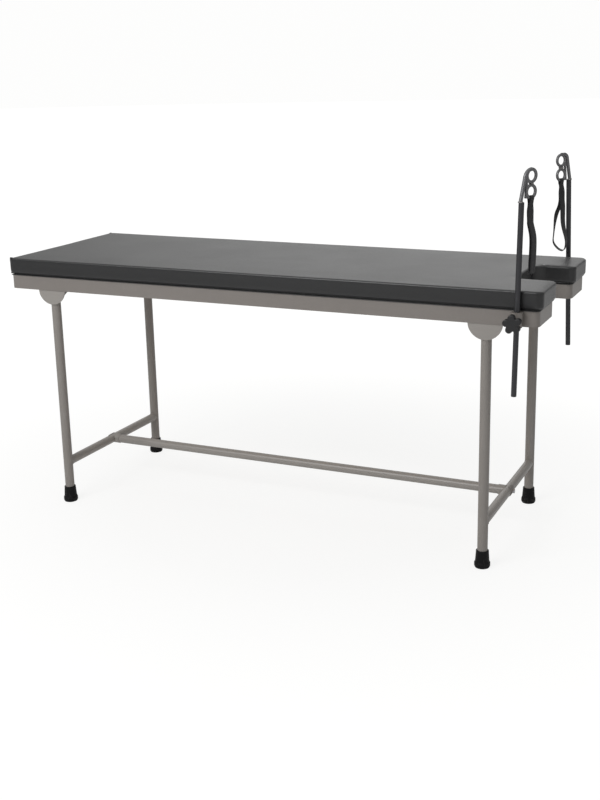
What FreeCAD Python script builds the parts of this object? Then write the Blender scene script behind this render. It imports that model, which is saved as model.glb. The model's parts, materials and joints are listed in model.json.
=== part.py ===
import FreeCAD, Part
import math
import os

import Sketcher

# Examination table with a padded top, a U-shaped notch at the foot end and two leg-support poles.
# Frame: X along the table with the notch at +X, Y across it with the near side at -Y, Z up.
# The origin is on the floor, under the middle of the top. Sizes are in millimetres.

SIZES = (
    ("pad_length", 1848.0, "pad over its cover"),
    ("pad_width", 620.0, "pad over its cover"),
    ("pad_top", 867.5, "height of the lying surface"),
    ("pad_thickness", 58.5, "pad with its board"),
    ("pad_corner", 24.0, "upright corners of the pad"),
    ("pad_edge", 8.0, "rounding of the pad's top edge"),
    ("pad_under_edge", 10.0, "rounding of the pad's lower edge"),
    ("pad_overhang", 4.0, "pad beyond the faces of the frame"),
    ("head_overhang", 1.0, "pad beyond the frame at the head end"),
    ("foot_overhang", 11.0, "pad beyond the frame at the foot end"),
    ("frame_corner", 20.0, "upright corners of the frame"),
    ("cover_wall", 1.2, "leatherette"),
    ("cover_play", 0.3, "between the cover and what it holds"),
    ("hem_width", 35.0, "cover turned in under the board"),
    ("board_thickness", 12.0, "plywood"),
    ("board_inset", 12.0, "plywood from the pad's faces"),
    ("notch_width", 240.0, "notch in the pad"),
    ("notch_depth", 129.0, "notch in the pad"),
    ("notch_corner", 45.0, "inner corners of the notch in the pad"),
    ("rail_height", 46.0, "face of the frame"),
    ("rail_wall", 2.0, "folded steel angle"),
    ("rail_flange", 30.0, "top flange of the angle"),
    ("cross_side", 25.0, "square tube under the board"),
    ("cross_wall", 1.5, "square tube under the board"),
    ("leg_inset", 167.0, "leg centres from the pad's ends"),
    ("leg_diameter", 31.75, "round tube"),
    ("leg_wall", 1.6, "round tube"),
    ("bracket_width", 106.0, "half-moon cheek"),
    ("bracket_drop", 48.0, "cheek below the frame"),
    ("bracket_plate", 4.0, "cheek"),
    ("bracket_slope", 14.0, "height of the cheek's sloping shoulder"),
    ("gusset_width", 92.0, "inner cheek under the frame"),
    ("gusset_drop", 28.0, "inner cheek below the frame"),
    ("ferrule_height", 55.0, "rubber foot"),
    ("ferrule_floor", 12.0, "rubber under the tube"),
    ("ferrule_top", 39.0, "diameter at the mouth"),
    ("ferrule_waist", 43.6, "diameter above the rim"),
    ("ferrule_rim", 49.0, "diameter of the rim"),
    ("rim_height", 16.0, "top of the rim"),
    ("rim_bevel", 5.0, "sloping edges of the rim"),
    ("tread_width", 7.0, "ring that stands on the floor"),
    ("tread_depth", 2.0, "hollow inside the tread ring"),
    ("bar_height", 145.0, "centre of the crossbars and the stretcher"),
    ("bar_diameter", 30.0, "crossbars and stretcher"),
    ("bar_wall", 1.5, "crossbars and stretcher"),
    ("sleeve_diameter", 33.4, "sleeve on the stretcher's end"),
    ("sleeve_length", 16.0, "sleeve seen beside the crossbar"),
    ("sleeve_lip", 9.0, "sleeve that reaches over the crossbar"),
    ("saddle_length", 30.0, "curved washer along the crossbar"),
    ("saddle_depth", 11.0, "curved washer round the crossbar"),
    ("saddle_wall", 2.5, "curved washer"),
    ("bolt_diameter", 8.0, "stretcher bolt"),
    ("bolt_play", 0.3, "radial, in plain holes"),
    ("bolt_grip", 20.0, "thread in the plug"),
    ("bolt_head_width", 13.0, "across flats"),
    ("bolt_head_height", 5.3, "hex head"),
    ("plug_length", 30.0, "threaded plug in the stretcher"),
    ("screw_diameter", 6.0, "board screw"),
    ("screw_play", 0.3, "radial, in flange and hem"),
    ("screw_depth", 9.0, "thread in the board"),
    ("screw_head", 12.0, "pan head"),
    ("screw_head_height", 3.5, "pan head"),
    ("screw_inset", 18.0, "from the frame's face"),
    ("pole_inset", 67.0, "poles from the pad's foot end, before their own shift"),
    ("pole_diameter", 16.0, "round rod"),
    ("pole_play", 0.08, "radial, in the socket"),
    ("pole_above", 331.0, "rod over the socket's middle"),
    ("pole_chamfer", 1.0, "rod ends"),
    ("socket_diameter", 31.75, "pole socket"),
    ("socket_short", 1.0, "socket shorter than the frame's face, at each end"),
    ("clamp_diameter", 8.0, "clamp screw"),
    ("clamp_play", 0.05, "radial, in the nut and the knob"),
    ("clamp_hole_play", 0.3, "radial, in the socket's wall"),
    ("clamp_gap", 0.3, "screw tip to rod at rest"),
    ("clamp_in_knob", 21.0, "screw inside the knob"),
    ("clamp_drop", 3.0, "clamp screw under the socket's middle"),
    ("nut_width", 13.0, "weld nut across flats"),
    ("nut_height", 6.5, "weld nut"),
    ("knob_gap", 4.0, "nut to knob at rest"),
    ("hub_diameter", 22.0, "knob hub"),
    ("hub_length", 12.0, "knob hub"),
    ("knob_core", 37.0, "knob between its lobes"),
    ("knob_thickness", 20.0, "knob"),
    ("lobe_radius", 10.2, "knob lobe"),
    ("lobe_reach", 17.5, "lobe centre from the knob's axis"),
    ("knob_edge", 3.0, "rounding of the knob's face"),
    ("head_bar", 11.0, "bent bar of the ring head"),
    ("head_foot", -4.0, "foot of the bent bar from the rod's axis"),
    ("ring_wire", 9.0, "rings"),
    ("ring_radius", 17.5, "rings, at the wire's centre"),
    ("ring_reach", 36.0, "ring centres from the rod's axis"),
    ("spine_wire", 8.0, "straight wire beside the rings"),
    ("spine_splay", 3.0, "foot of the straight wire beside the lower ring"),
    ("eye_play", 1.8, "radial, strap eye round the ring"),
    ("eye_width", 12.0, "webbing gathered in the ring"),
    ("strap_width", 25.0, "webbing"),
    ("strap_wall", 2.2, "webbing"),
    ("strap_flare", 26.0, "length over which the webbing spreads"),
)

# The two poles differ in how they stand, in how their straps hang and in how their heads were bent.
SIDE_SIZES = (
    ("pole_shift", -3.3, 3.1, "pole towards the foot end"),
    ("pole_below", 226.0, 220.5, "rod under the socket's middle"),
    ("knob_rest", 8.0, 0.0, "knob about its screw"),
    ("lean", 0.8, -1.8, "pole from upright, towards the foot end"),
    ("turn", 61.0, -121.0, "ring head about its pole, from +X"),
    ("ring_rise", 27.0, 17.0, "lower ring over the rod's end"),
    ("ring_pitch", 44.0, 46.5, "between the ring centres"),
    ("curl_radius", 26.0, 14.0, "bend at the top of the bar"),
    ("curl_reach", 36.0, 22.0, "top of the bend from the rod's axis"),
    ("bar_lift", 0.0, 1.0, "bar over the middle of the ring's wire"),
    ("strap_hang", 215.0, 231.0, "strap below the ring's wire"),
    ("strap_neck", 62.0, 84.0, "strap sewn together below the ring"),
    ("loop_width", 7.0, 50.0, "strap loop"),
)

SIDES = (("near", -1), ("far", 1))
ENDS = (("head", -1), ("foot", 1))
LOBES = 5
CUT_OVER = 5.0

X_AXIS = FreeCAD.Vector(1, 0, 0)
Y_AXIS = FreeCAD.Vector(0, 1, 0)
Z_AXIS = FreeCAD.Vector(0, 0, 1)

doc = FreeCAD.newDocument("examination_table")
sheet = doc.addObject("Spreadsheet::Sheet", "Dims")
row = 0
for alias, size, meaning in SIZES:
    row += 1
    sheet.set("A%d" % row, meaning)
    sheet.set("B%d" % row, str(size))
    sheet.setAlias("B%d" % row, alias)
for name, near_size, far_size, meaning in SIDE_SIZES:
    for (side, _), size in zip(SIDES, (near_size, far_size)):
        row += 1
        sheet.set("A%d" % row, meaning)
        sheet.set("B%d" % row, str(size))
        sheet.setAlias("B%d" % row, side + "_" + name)
doc.recompute()


def value(alias):
    """Number in the sheet."""
    return float(sheet.get(alias))


# Places that several pieces share, as expressions on the sheet.
FRAME_TOP = "(Dims.pad_top - Dims.pad_thickness)"
FRAME_BOTTOM = "(%s - Dims.rail_height)" % FRAME_TOP
FRAME_HEAD = "(Dims.pad_length / 2 - Dims.head_overhang)"
FRAME_FOOT = "(Dims.pad_length / 2 - Dims.foot_overhang)"
FRAME_HALF_WIDTH = "(Dims.pad_width / 2 - Dims.pad_overhang)"
NOTCH_HALF = "(Dims.notch_width / 2 + Dims.pad_overhang)"
NOTCH_END = "(Dims.pad_length / 2 - Dims.notch_depth - Dims.pad_overhang)"
NOTCH_ROUND = "(Dims.notch_corner + Dims.pad_overhang)"
FLANGE_UNDERSIDE = "(%s - Dims.rail_wall)" % FRAME_TOP
BOARD_UNDERSIDE = "(%s + Dims.cover_wall)" % FRAME_TOP
BOARD_TOP = "(%s + Dims.board_thickness)" % BOARD_UNDERSIDE
LEG_X = "(Dims.pad_length / 2 - Dims.leg_inset)"
LEG_Y = "(%s - Dims.bracket_plate - Dims.leg_diameter / 2)" % FRAME_HALF_WIDTH
LEG_TOP = "(%s - Dims.bracket_plate)" % FLANGE_UNDERSIDE
POLE_X = "(Dims.pad_length / 2 - Dims.pole_inset)"
KNOB_SEAT = "(Dims.socket_diameter / 2 + Dims.nut_height + Dims.knob_gap)"

parts = {}


def keep(name, feature):
    """Give a sub-part its label and list it for the export."""
    feature.Label = name
    parts[name] = feature
    return feature


def new_body(name):
    return doc.addObject("PartDesign::Body", name)


def new_sketch(body, role, name, offset=None):
    """Sketch on one of the body's own origin planes, moved along its normal by an expression."""
    sketch = body.newObject("Sketcher::SketchObject", name)
    plane = [feature for feature in body.Origin.OriginFeatures if feature.Role == role][0]
    sketch.AttachmentSupport = [(plane, "")]
    sketch.MapMode = "FlatFace"
    if offset:
        sketch.setExpression("AttachmentOffset.Base.z", offset)
    return sketch


def hold_point(sketch, geometry, end, x, y):
    """Fix a point of the sketch at two expressions."""
    for kind, expression in (("DistanceX", x), ("DistanceY", y)):
        index = sketch.addConstraint(Sketcher.Constraint(kind, -1, 1, geometry, end, 1.0))
        sketch.setExpression("Constraints[%d]" % index, expression)


def hold_radius(sketch, geometry, expression):
    index = sketch.addConstraint(Sketcher.Constraint("Radius", geometry, 1.0))
    sketch.setExpression("Constraints[%d]" % index, expression)


def draw_polygon(sketch, corners):
    """Closed outline through corners that are given as pairs of expressions."""
    count = len(corners)
    first = sketch.GeometryCount
    start = [
        FreeCAD.Vector(10 * math.cos(2 * math.pi * i / count), 10 * math.sin(2 * math.pi * i / count), 0)
        for i in range(count)
    ]
    for i in range(count):
        sketch.addGeometry(Part.LineSegment(start[i], start[(i + 1) % count]), False)
    for i in range(count):
        following = first + (i + 1) % count
        sketch.addConstraint(Sketcher.Constraint("Coincident", first + i, 2, following, 1))
    for i, (x, y) in enumerate(corners):
        hold_point(sketch, first + i, 1, x, y)


def draw_circle(sketch, radius, x="0", y="0"):
    index = sketch.addGeometry(Part.Circle(FreeCAD.Vector(0, 0, 0), Z_AXIS, 5.0), False)
    hold_point(sketch, index, 3, x, y)
    hold_radius(sketch, index, radius)


def add_pad(body, sketch, length, middle=False):
    pad = body.newObject("PartDesign::Pad", body.Name + "Pad")
    pad.Profile = sketch
    if middle:
        pad.SideType = "Symmetric"
    pad.setExpression("Length", length)
    return pad


def add_fillet(body, base, edges, radius):
    fillet = body.newObject("PartDesign::Fillet", body.Name + "Fillet")
    fillet.Base = (base, edges)
    fillet.setExpression("Radius", radius)
    return fillet


def revolved(name, corners):
    """Body turned about its own Z from an outline of radii and heights."""
    body = new_body(name)
    sketch = new_sketch(body, "XZ_Plane", name + "Outline")
    draw_polygon(sketch, corners)
    turn = body.newObject("PartDesign::Revolution", name + "Turn")
    turn.Profile = sketch
    turn.ReferenceAxis = (sketch, ["V_Axis"])
    turn.Angle = 360.0
    return body


def tube(name, role, outer, inner, length, middle=True):
    """Body of a round tube along the normal of a plane; without an inner radius it is a rod."""
    body = new_body(name)
    sketch = new_sketch(body, role, name + "Section")
    draw_circle(sketch, outer)
    if inner:
        draw_circle(sketch, inner)
    add_pad(body, sketch, length, middle)
    return body


def place(feature, x="0", y="0", z="0"):
    for letter, expression in zip("xyz", (x, y, z)):
        feature.setExpression("Placement.Base." + letter, expression)
    return feature


def cylinder(name, radius, height, axis="z", x="0", y="0", z="0"):
    """Plain cylinder that starts at the given point and runs along +X, +Y or +Z."""
    feature = doc.addObject("Part::Cylinder", name)
    feature.setExpression("Radius", radius)
    feature.setExpression("Height", height)
    turns = {
        "x": FreeCAD.Rotation(Y_AXIS, 90),
        "y": FreeCAD.Rotation(X_AXIS, -90),
        "z": FreeCAD.Rotation(),
    }
    feature.Placement = FreeCAD.Placement(FreeCAD.Vector(), turns[axis])
    return place(feature, x, y, z)


def fuse(name, shapes):
    feature = doc.addObject("Part::MultiFuse", name)
    feature.Shapes = shapes
    return feature


def group(name, shapes):
    feature = doc.addObject("Part::Compound", name)
    feature.Links = shapes
    return feature


def cut(name, base, tool):
    feature = doc.addObject("Part::Cut", name)
    feature.Base = base
    feature.Tool = tool
    return feature


def common(name, base, tool):
    feature = doc.addObject("Part::Common", name)
    feature.Base = base
    feature.Tool = tool
    return feature


def upright_edges(shape, inner):
    """Upright edges of a table outline: the two inner corners of the notch, or all the others."""
    low = shape.BoundBox.XMin
    high = shape.BoundBox.XMax
    names = []
    for number, edge in enumerate(shape.Edges, 1):
        start, end = edge.Vertexes[0].Point, edge.Vertexes[-1].Point
        if abs(start.x - end.x) > 1e-6 or abs(start.y - end.y) > 1e-6:
            continue
        at_notch = low + 1.0 < start.x < high - 1.0
        if at_notch == inner:
            names.append("Edge%d" % number)
    return names


def level_edges(shape, level):
    """Edges that lie flat at one height."""
    names = []
    for number, edge in enumerate(shape.Edges, 1):
        if all(abs(vertex.Point.z - level) < 1e-6 for vertex in edge.Vertexes):
            names.append("Edge%d" % number)
    return names


def table_outline(name, inset, low, high, head=None, foot=None, corner="Dims.pad_corner"):
    """Slab in the pad's outline, drawn in from it by an inset, with the notch and its corners.

    Each end may have an inset of its own. The outer corners stay sharp where no radius is given."""
    body = new_body(name)
    sketch = new_sketch(body, "XY_Plane", name + "Outline", low)
    head_end = "(Dims.pad_length / 2 - (%s))" % (head or inset)
    foot_end = "(Dims.pad_length / 2 - (%s))" % (foot or inset)
    half_width = "(Dims.pad_width / 2 - (%s))" % inset
    notch_half = "(Dims.notch_width / 2 + (%s))" % inset
    notch_end = "(Dims.pad_length / 2 - Dims.notch_depth - (%s))" % inset
    draw_polygon(sketch, [
        ("-" + head_end, "-" + half_width),
        (foot_end, "-" + half_width),
        (foot_end, "-" + notch_half),
        (notch_end, "-" + notch_half),
        (notch_end, notch_half),
        (foot_end, notch_half),
        (foot_end, half_width),
        ("-" + head_end, half_width),
    ])
    slab = add_pad(body, sketch, "%s - %s" % (high, low))
    doc.recompute()
    notch = add_fillet(body, slab, upright_edges(slab.Shape, True), "Dims.notch_corner + (%s)" % inset)
    if corner:
        doc.recompute()
        add_fillet(body, notch, upright_edges(notch.Shape, False), "%s - (%s)" % (corner, inset))
    doc.recompute()
    return body


def round_level(body, level, radius):
    """Round all the edges of a slab at one height."""
    base = body.Tip
    fillet = add_fillet(body, base, level_edges(base.Shape, level), radius)
    doc.recompute()
    return fillet


def make_pad():
    """Cover, foam and board, with the holes of the board screws in cover and board."""
    under = value("pad_top") - value("pad_thickness")
    outside = table_outline("PadOutside", "0", FRAME_TOP, "Dims.pad_top")
    round_level(outside, value("pad_top"), "Dims.pad_edge")
    round_level(outside, under, "Dims.pad_under_edge")
    hollow = table_outline("PadHollow", "Dims.cover_wall", BOARD_UNDERSIDE, "(Dims.pad_top - Dims.cover_wall)")
    round_level(hollow, value("pad_top") - value("cover_wall"), "Dims.pad_edge - Dims.cover_wall")
    round_level(hollow, under + value("cover_wall"), "Dims.pad_under_edge - Dims.cover_wall")
    window = table_outline("HemWindow", "Dims.hem_width", "(%s - Dims.cover_wall)" % FRAME_TOP,
                           "(%s + Dims.cover_wall)" % BOARD_UNDERSIDE, corner=None)
    inside = "Dims.cover_wall + Dims.cover_play"
    foam = table_outline("PadFoam", inside, BOARD_TOP, "(Dims.pad_top - Dims.cover_wall)")
    round_level(foam, value("pad_top") - value("cover_wall"), "Dims.pad_edge - Dims.cover_wall")
    keep("pad_foam", foam)
    board = table_outline("PadBoard", "Dims.board_inset", BOARD_UNDERSIDE, BOARD_TOP)
    loose = screw_rods("HemHole", "Dims.screw_diameter / 2 + Dims.screw_play",
                       "(%s - Dims.cover_wall)" % FRAME_TOP, "Dims.cover_wall * 3")
    tight = screw_rods("BoardHole", "Dims.screw_diameter / 2", FRAME_TOP,
                       "Dims.cover_wall + Dims.screw_depth")
    keep("pad_cover", cut("PadCover", outside, fuse("CoverRoom", [hollow, window] + loose)))
    keep("pad_board", cut("PadBoardDrilled", board, fuse("BoardHoles", tight)))


def screw_places():
    """Board screws along the side rails: midway between the cross members, and in each lobe."""
    along = ["%s * %s" % (share, LEG_X) for share in ("-0.75", "-0.25", "0.25", "0.75")] + [POLE_X]
    return [(x, "%d * (%s - Dims.screw_inset)" % (sign, FRAME_HALF_WIDTH), side)
            for side, sign in SIDES for x in along]


def screw_rods(name, radius, low, length, only=None):
    rods = []
    for number, (x, y, side) in enumerate(screw_places()):
        if only in (None, side):
            rods.append(cylinder("%s%d" % (name, number), radius, length, "z", x, y, low))
    return rods


def make_board_screws():
    screws = []
    shanks = screw_rods("ScrewShank", "Dims.screw_diameter / 2", FLANGE_UNDERSIDE,
                        "Dims.rail_wall + Dims.cover_wall + Dims.screw_depth")
    heads = screw_rods("ScrewHead", "Dims.screw_head / 2", "(%s - Dims.screw_head_height)" % FLANGE_UNDERSIDE,
                       "Dims.screw_head_height")
    for number, (shank, head) in enumerate(zip(shanks, heads)):
        screws.append(fuse("BoardScrew%d" % number, [shank, head]))
    keep("board_screws", group("BoardScrews", screws))


def mitre_sector(name, corners):
    """Upright prism that takes one rail out of the frame, cut along its mitres."""
    body = new_body(name)
    sketch = new_sketch(body, "XY_Plane", name + "Outline", "%s - %f" % (FRAME_BOTTOM, CUT_OVER))
    draw_polygon(sketch, corners)
    add_pad(body, sketch, "Dims.rail_height + %f" % (2 * CUT_OVER))
    return body


def frame_outline(name, inset, low, high, corner):
    """Slab in the frame's outline, drawn in from the frame's faces by an inset."""
    side, head, foot = ("Dims.%s_overhang + %s" % (part, inset) for part in ("pad", "head", "foot"))
    return table_outline(name, side, low, high, head, foot, corner)


def make_rails():
    """Folded angle all round the top, cut into its rails at the mitres."""
    outer_corner = "Dims.frame_corner + Dims.pad_overhang"
    below = "(%s - %f)" % (FRAME_BOTTOM, CUT_OVER)
    over = "(%s + %f)" % (FRAME_TOP, CUT_OVER)
    solid = frame_outline("FrameSolid", "0", FRAME_BOTTOM, FRAME_TOP, outer_corner)
    under = frame_outline("FrameUnder", "Dims.rail_wall", below, FLANGE_UNDERSIDE, outer_corner)
    window = frame_outline("FrameWindow", "Dims.rail_flange", below, over, None)
    angle = cut("FrameAngle", solid, fuse("FrameRoom", [under, window]))

    reach = "(Dims.rail_flange + 1)"
    head_out = FRAME_HEAD
    head_in = "(%s - %s)" % (FRAME_HEAD, reach)
    foot_out = FRAME_FOOT
    foot_in = "(%s - %s)" % (FRAME_FOOT, reach)
    wide_out = FRAME_HALF_WIDTH
    wide_in = "(%s - %s)" % (FRAME_HALF_WIDTH, reach)
    notch_in = "(%s + %s)" % (NOTCH_HALF, reach)
    end_in = "(%s - %s)" % (NOTCH_END, reach)
    arc_x = "(%s + %s)" % (NOTCH_END, NOTCH_ROUND)
    arc_y = "(%s - %s)" % (NOTCH_HALF, NOTCH_ROUND)

    keep("rail_head", common("RailHead", angle, mitre_sector("HeadSector", [
        ("-" + head_out, "-" + wide_out), ("-" + head_in, "-" + wide_in),
        ("-" + head_in, wide_in), ("-" + head_out, wide_out)])))
    keep("rail_notch_end", common("RailNotchEnd", angle, mitre_sector("NotchEndSector", [
        (arc_x, "-" + arc_y), (end_in, "-" + notch_in), (end_in, notch_in), (arc_x, arc_y)])))
    for side, sign in SIDES:
        def across(expression):
            return "%d * %s" % (sign, expression)
        side_rail = common("SideRailBlank_" + side, angle, mitre_sector("SideSector_" + side, [
            ("-" + head_out, across(wide_out)), (foot_out, across(wide_out)),
            (foot_in, across(wide_in)), ("-" + head_in, across(wide_in))]))
        holes = screw_rods("RailHole_" + side, "Dims.screw_diameter / 2 + Dims.screw_play",
                           "(%s - Dims.rail_wall)" % FLANGE_UNDERSIDE, "Dims.rail_wall * 3", side)
        keep("rail_side_" + side, cut("SideRail_" + side, side_rail, fuse("RailHoles_" + side, holes)))
        keep("rail_lobe_" + side, common("RailLobe_" + side, angle, mitre_sector("LobeSector_" + side, [
            (foot_out, across(wide_out)), (foot_out, across(NOTCH_HALF)),
            (foot_in, across(notch_in)), (foot_in, across(wide_in))])))
        keep("rail_notch_" + side, common("RailNotch_" + side, angle, mitre_sector("NotchSector_" + side, [
            (foot_out, across(NOTCH_HALF)), (arc_x, across(NOTCH_HALF)), (arc_x, across(arc_y)),
            (end_in, across(notch_in)), (foot_in, across(notch_in))])))


def make_cross_members():
    """Square tubes under the flanges, evenly spaced: three between the rails, two between the brackets."""
    inner_cheek = "(%s - Dims.bracket_plate * 2 - Dims.leg_diameter)" % FRAME_HALF_WIDTH
    between_rails = "2 * (%s - Dims.rail_wall)" % FRAME_HALF_WIDTH
    between_brackets = "2 * %s" % inner_cheek
    half = "(Dims.cross_side / 2)"
    inner = "(Dims.cross_side / 2 - Dims.cross_wall)"
    for name, x, length in (
        ("cross_member_head", "-%s / 2" % LEG_X, between_rails),
        ("cross_member_middle", "0", between_rails),
        ("cross_member_foot", "%s / 2" % LEG_X, between_rails),
        ("cross_tie_head", "-" + LEG_X, between_brackets),
        ("cross_tie_foot", LEG_X, between_brackets),
    ):
        body = new_body(name)
        sketch = new_sketch(body, "XZ_Plane", name + "Section")
        for size in (half, inner):
            draw_polygon(sketch, [("-" + size, "-" + size), (size, "-" + size), (size, size), ("-" + size, size)])
        add_pad(body, sketch, length, middle=True)
        place(body, x=x, z="%s - %s" % (FLANGE_UNDERSIDE, half))
        keep(name, body)


def make_bracket(name, sign_x, sign_y):
    """Folded saddle over the top of a leg: a half-moon cheek outside the tube and a gusset inside it."""
    outer = FRAME_HALF_WIDTH
    outer_in = "(%s - Dims.bracket_plate)" % outer
    inner_out = "(%s - Dims.leg_diameter)" % outer_in
    inner_in = "(%s - Dims.bracket_plate)" % inner_out
    behind_rail = "(%s - Dims.rail_wall)" % outer
    low = "(%s - Dims.bracket_drop)" % FRAME_BOTTOM
    shoulder = "(%s - Dims.bracket_slope)" % FRAME_BOTTOM
    profile = [
        (outer, low), (outer, shoulder), (behind_rail, FRAME_BOTTOM), (behind_rail, FLANGE_UNDERSIDE),
        (inner_in, FLANGE_UNDERSIDE), (inner_in, low), (inner_out, low), (inner_out, LEG_TOP),
        (outer_in, LEG_TOP), (outer_in, low),
    ]
    blank = new_body("Bracket_" + name)
    sketch = new_sketch(blank, "YZ_Plane", "BracketProfile_" + name)
    draw_polygon(sketch, [("%d * %s" % (sign_y, y), z) for y, z in profile])
    add_pad(blank, sketch, "Dims.bracket_width", middle=True)
    place(blank, x="%d * %s" % (sign_x, LEG_X))

    radius = "(Dims.bracket_width / 2)"
    centre = "(%s + %s)" % (low, radius)
    pad_edge = "-Dims.pad_width / 2"
    moon = cylinder("BracketMoon_" + name, radius, "(Dims.pad_width / 2 - %s)" % LEG_Y, "y",
                    "%d * %s" % (sign_x, LEG_X), LEG_Y if sign_y > 0 else pad_edge, centre)
    above = doc.addObject("Part::Box", "BracketAbove_" + name)
    above.setExpression("Length", "Dims.bracket_width")
    above.setExpression("Width", "Dims.pad_width")
    above.setExpression("Height", "Dims.rail_height")
    place(above, "%d * %s - %s" % (sign_x, LEG_X, radius), pad_edge, FRAME_BOTTOM)

    top_half = "(Dims.gusset_width / 2)"
    foot_half = "(Dims.leg_diameter / 2)"
    gusset_low = "(%s - Dims.gusset_drop)" % FRAME_BOTTOM
    inside_rail = "(%s + Dims.rail_wall)" % FRAME_BOTTOM
    gusset = new_body("Gusset_" + name)
    sketch = new_sketch(gusset, "XZ_Plane", "GussetOutline_" + name)
    draw_polygon(sketch, [
        ("-" + top_half, inside_rail), ("-" + top_half, FRAME_BOTTOM), ("-" + foot_half, gusset_low),
        (foot_half, gusset_low), (top_half, FRAME_BOTTOM), (top_half, inside_rail)])
    add_pad(gusset, sketch, "2 * " + LEG_Y, middle=True)
    place(gusset, x="%d * %s" % (sign_x, LEG_X))
    room = fuse("BracketRoom_" + name, [moon, above, gusset])
    keep("leg_bracket_" + name, common("CutBracket_" + name, blank, room))


def make_ferrule(name, x, y):
    rim = "(Dims.ferrule_rim / 2)"
    tread_out = "(%s - Dims.rim_bevel / 2)" % rim
    tread_in = "(%s - Dims.tread_width)" % tread_out
    body = revolved("Ferrule_" + name, [
        ("0", "Dims.tread_depth"), ("%s - Dims.tread_depth" % tread_in, "Dims.tread_depth"),
        (tread_in, "0"), (tread_out, "0"), (rim, "Dims.rim_bevel"),
        (rim, "Dims.rim_height - 1"), ("%s - 1" % rim, "Dims.rim_height"),
        ("Dims.ferrule_waist / 2", "Dims.rim_height + Dims.rim_bevel"),
        ("Dims.ferrule_top / 2", "Dims.ferrule_height - 1"),
        ("Dims.ferrule_top / 2 - 1", "Dims.ferrule_height"),
        ("Dims.leg_diameter / 2", "Dims.ferrule_height"), ("Dims.leg_diameter / 2", "Dims.ferrule_floor"),
        ("0", "Dims.ferrule_floor"),
    ])
    place(body, x, y)
    keep("ferrule_" + name, body)


def make_legs():
    """Four legs with bracket and ferrule, and the crossbar of each end, coped to its legs."""
    for end, sign_x in ENDS:
        x = "%d * %s" % (sign_x, LEG_X)
        legs = []
        for side, sign_y in SIDES:
            name = end + "_" + side
            y = "%d * %s" % (sign_y, LEG_Y)
            leg = tube("Leg_" + name, "XY_Plane", "Dims.leg_diameter / 2",
                       "Dims.leg_diameter / 2 - Dims.leg_wall", "%s - Dims.ferrule_floor" % LEG_TOP, False)
            place(leg, x, y, "Dims.ferrule_floor")
            keep("leg_tube_" + name, leg)
            legs.append(cylinder("LegSpace_" + name, "Dims.leg_diameter / 2", "Dims.pad_top", "z", x, y))
            make_bracket(name, sign_x, sign_y)
            make_ferrule(name, x, y)
        bar = tube("Crossbar_" + end, "XZ_Plane", "Dims.bar_diameter / 2",
                   "Dims.bar_diameter / 2 - Dims.bar_wall", "2 * " + LEG_Y)
        place(bar, x, "0", "Dims.bar_height")
        hole = cylinder("CrossbarHole_" + end, "Dims.bolt_diameter / 2 + Dims.bolt_play", "Dims.bar_diameter * 2",
                        "x", x + " - Dims.bar_diameter", "0", "Dims.bar_height")
        keep("crossbar_" + end, cut("CopedCrossbar_" + end, bar, fuse("CrossbarRoom_" + end, legs + [hole])))


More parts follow.
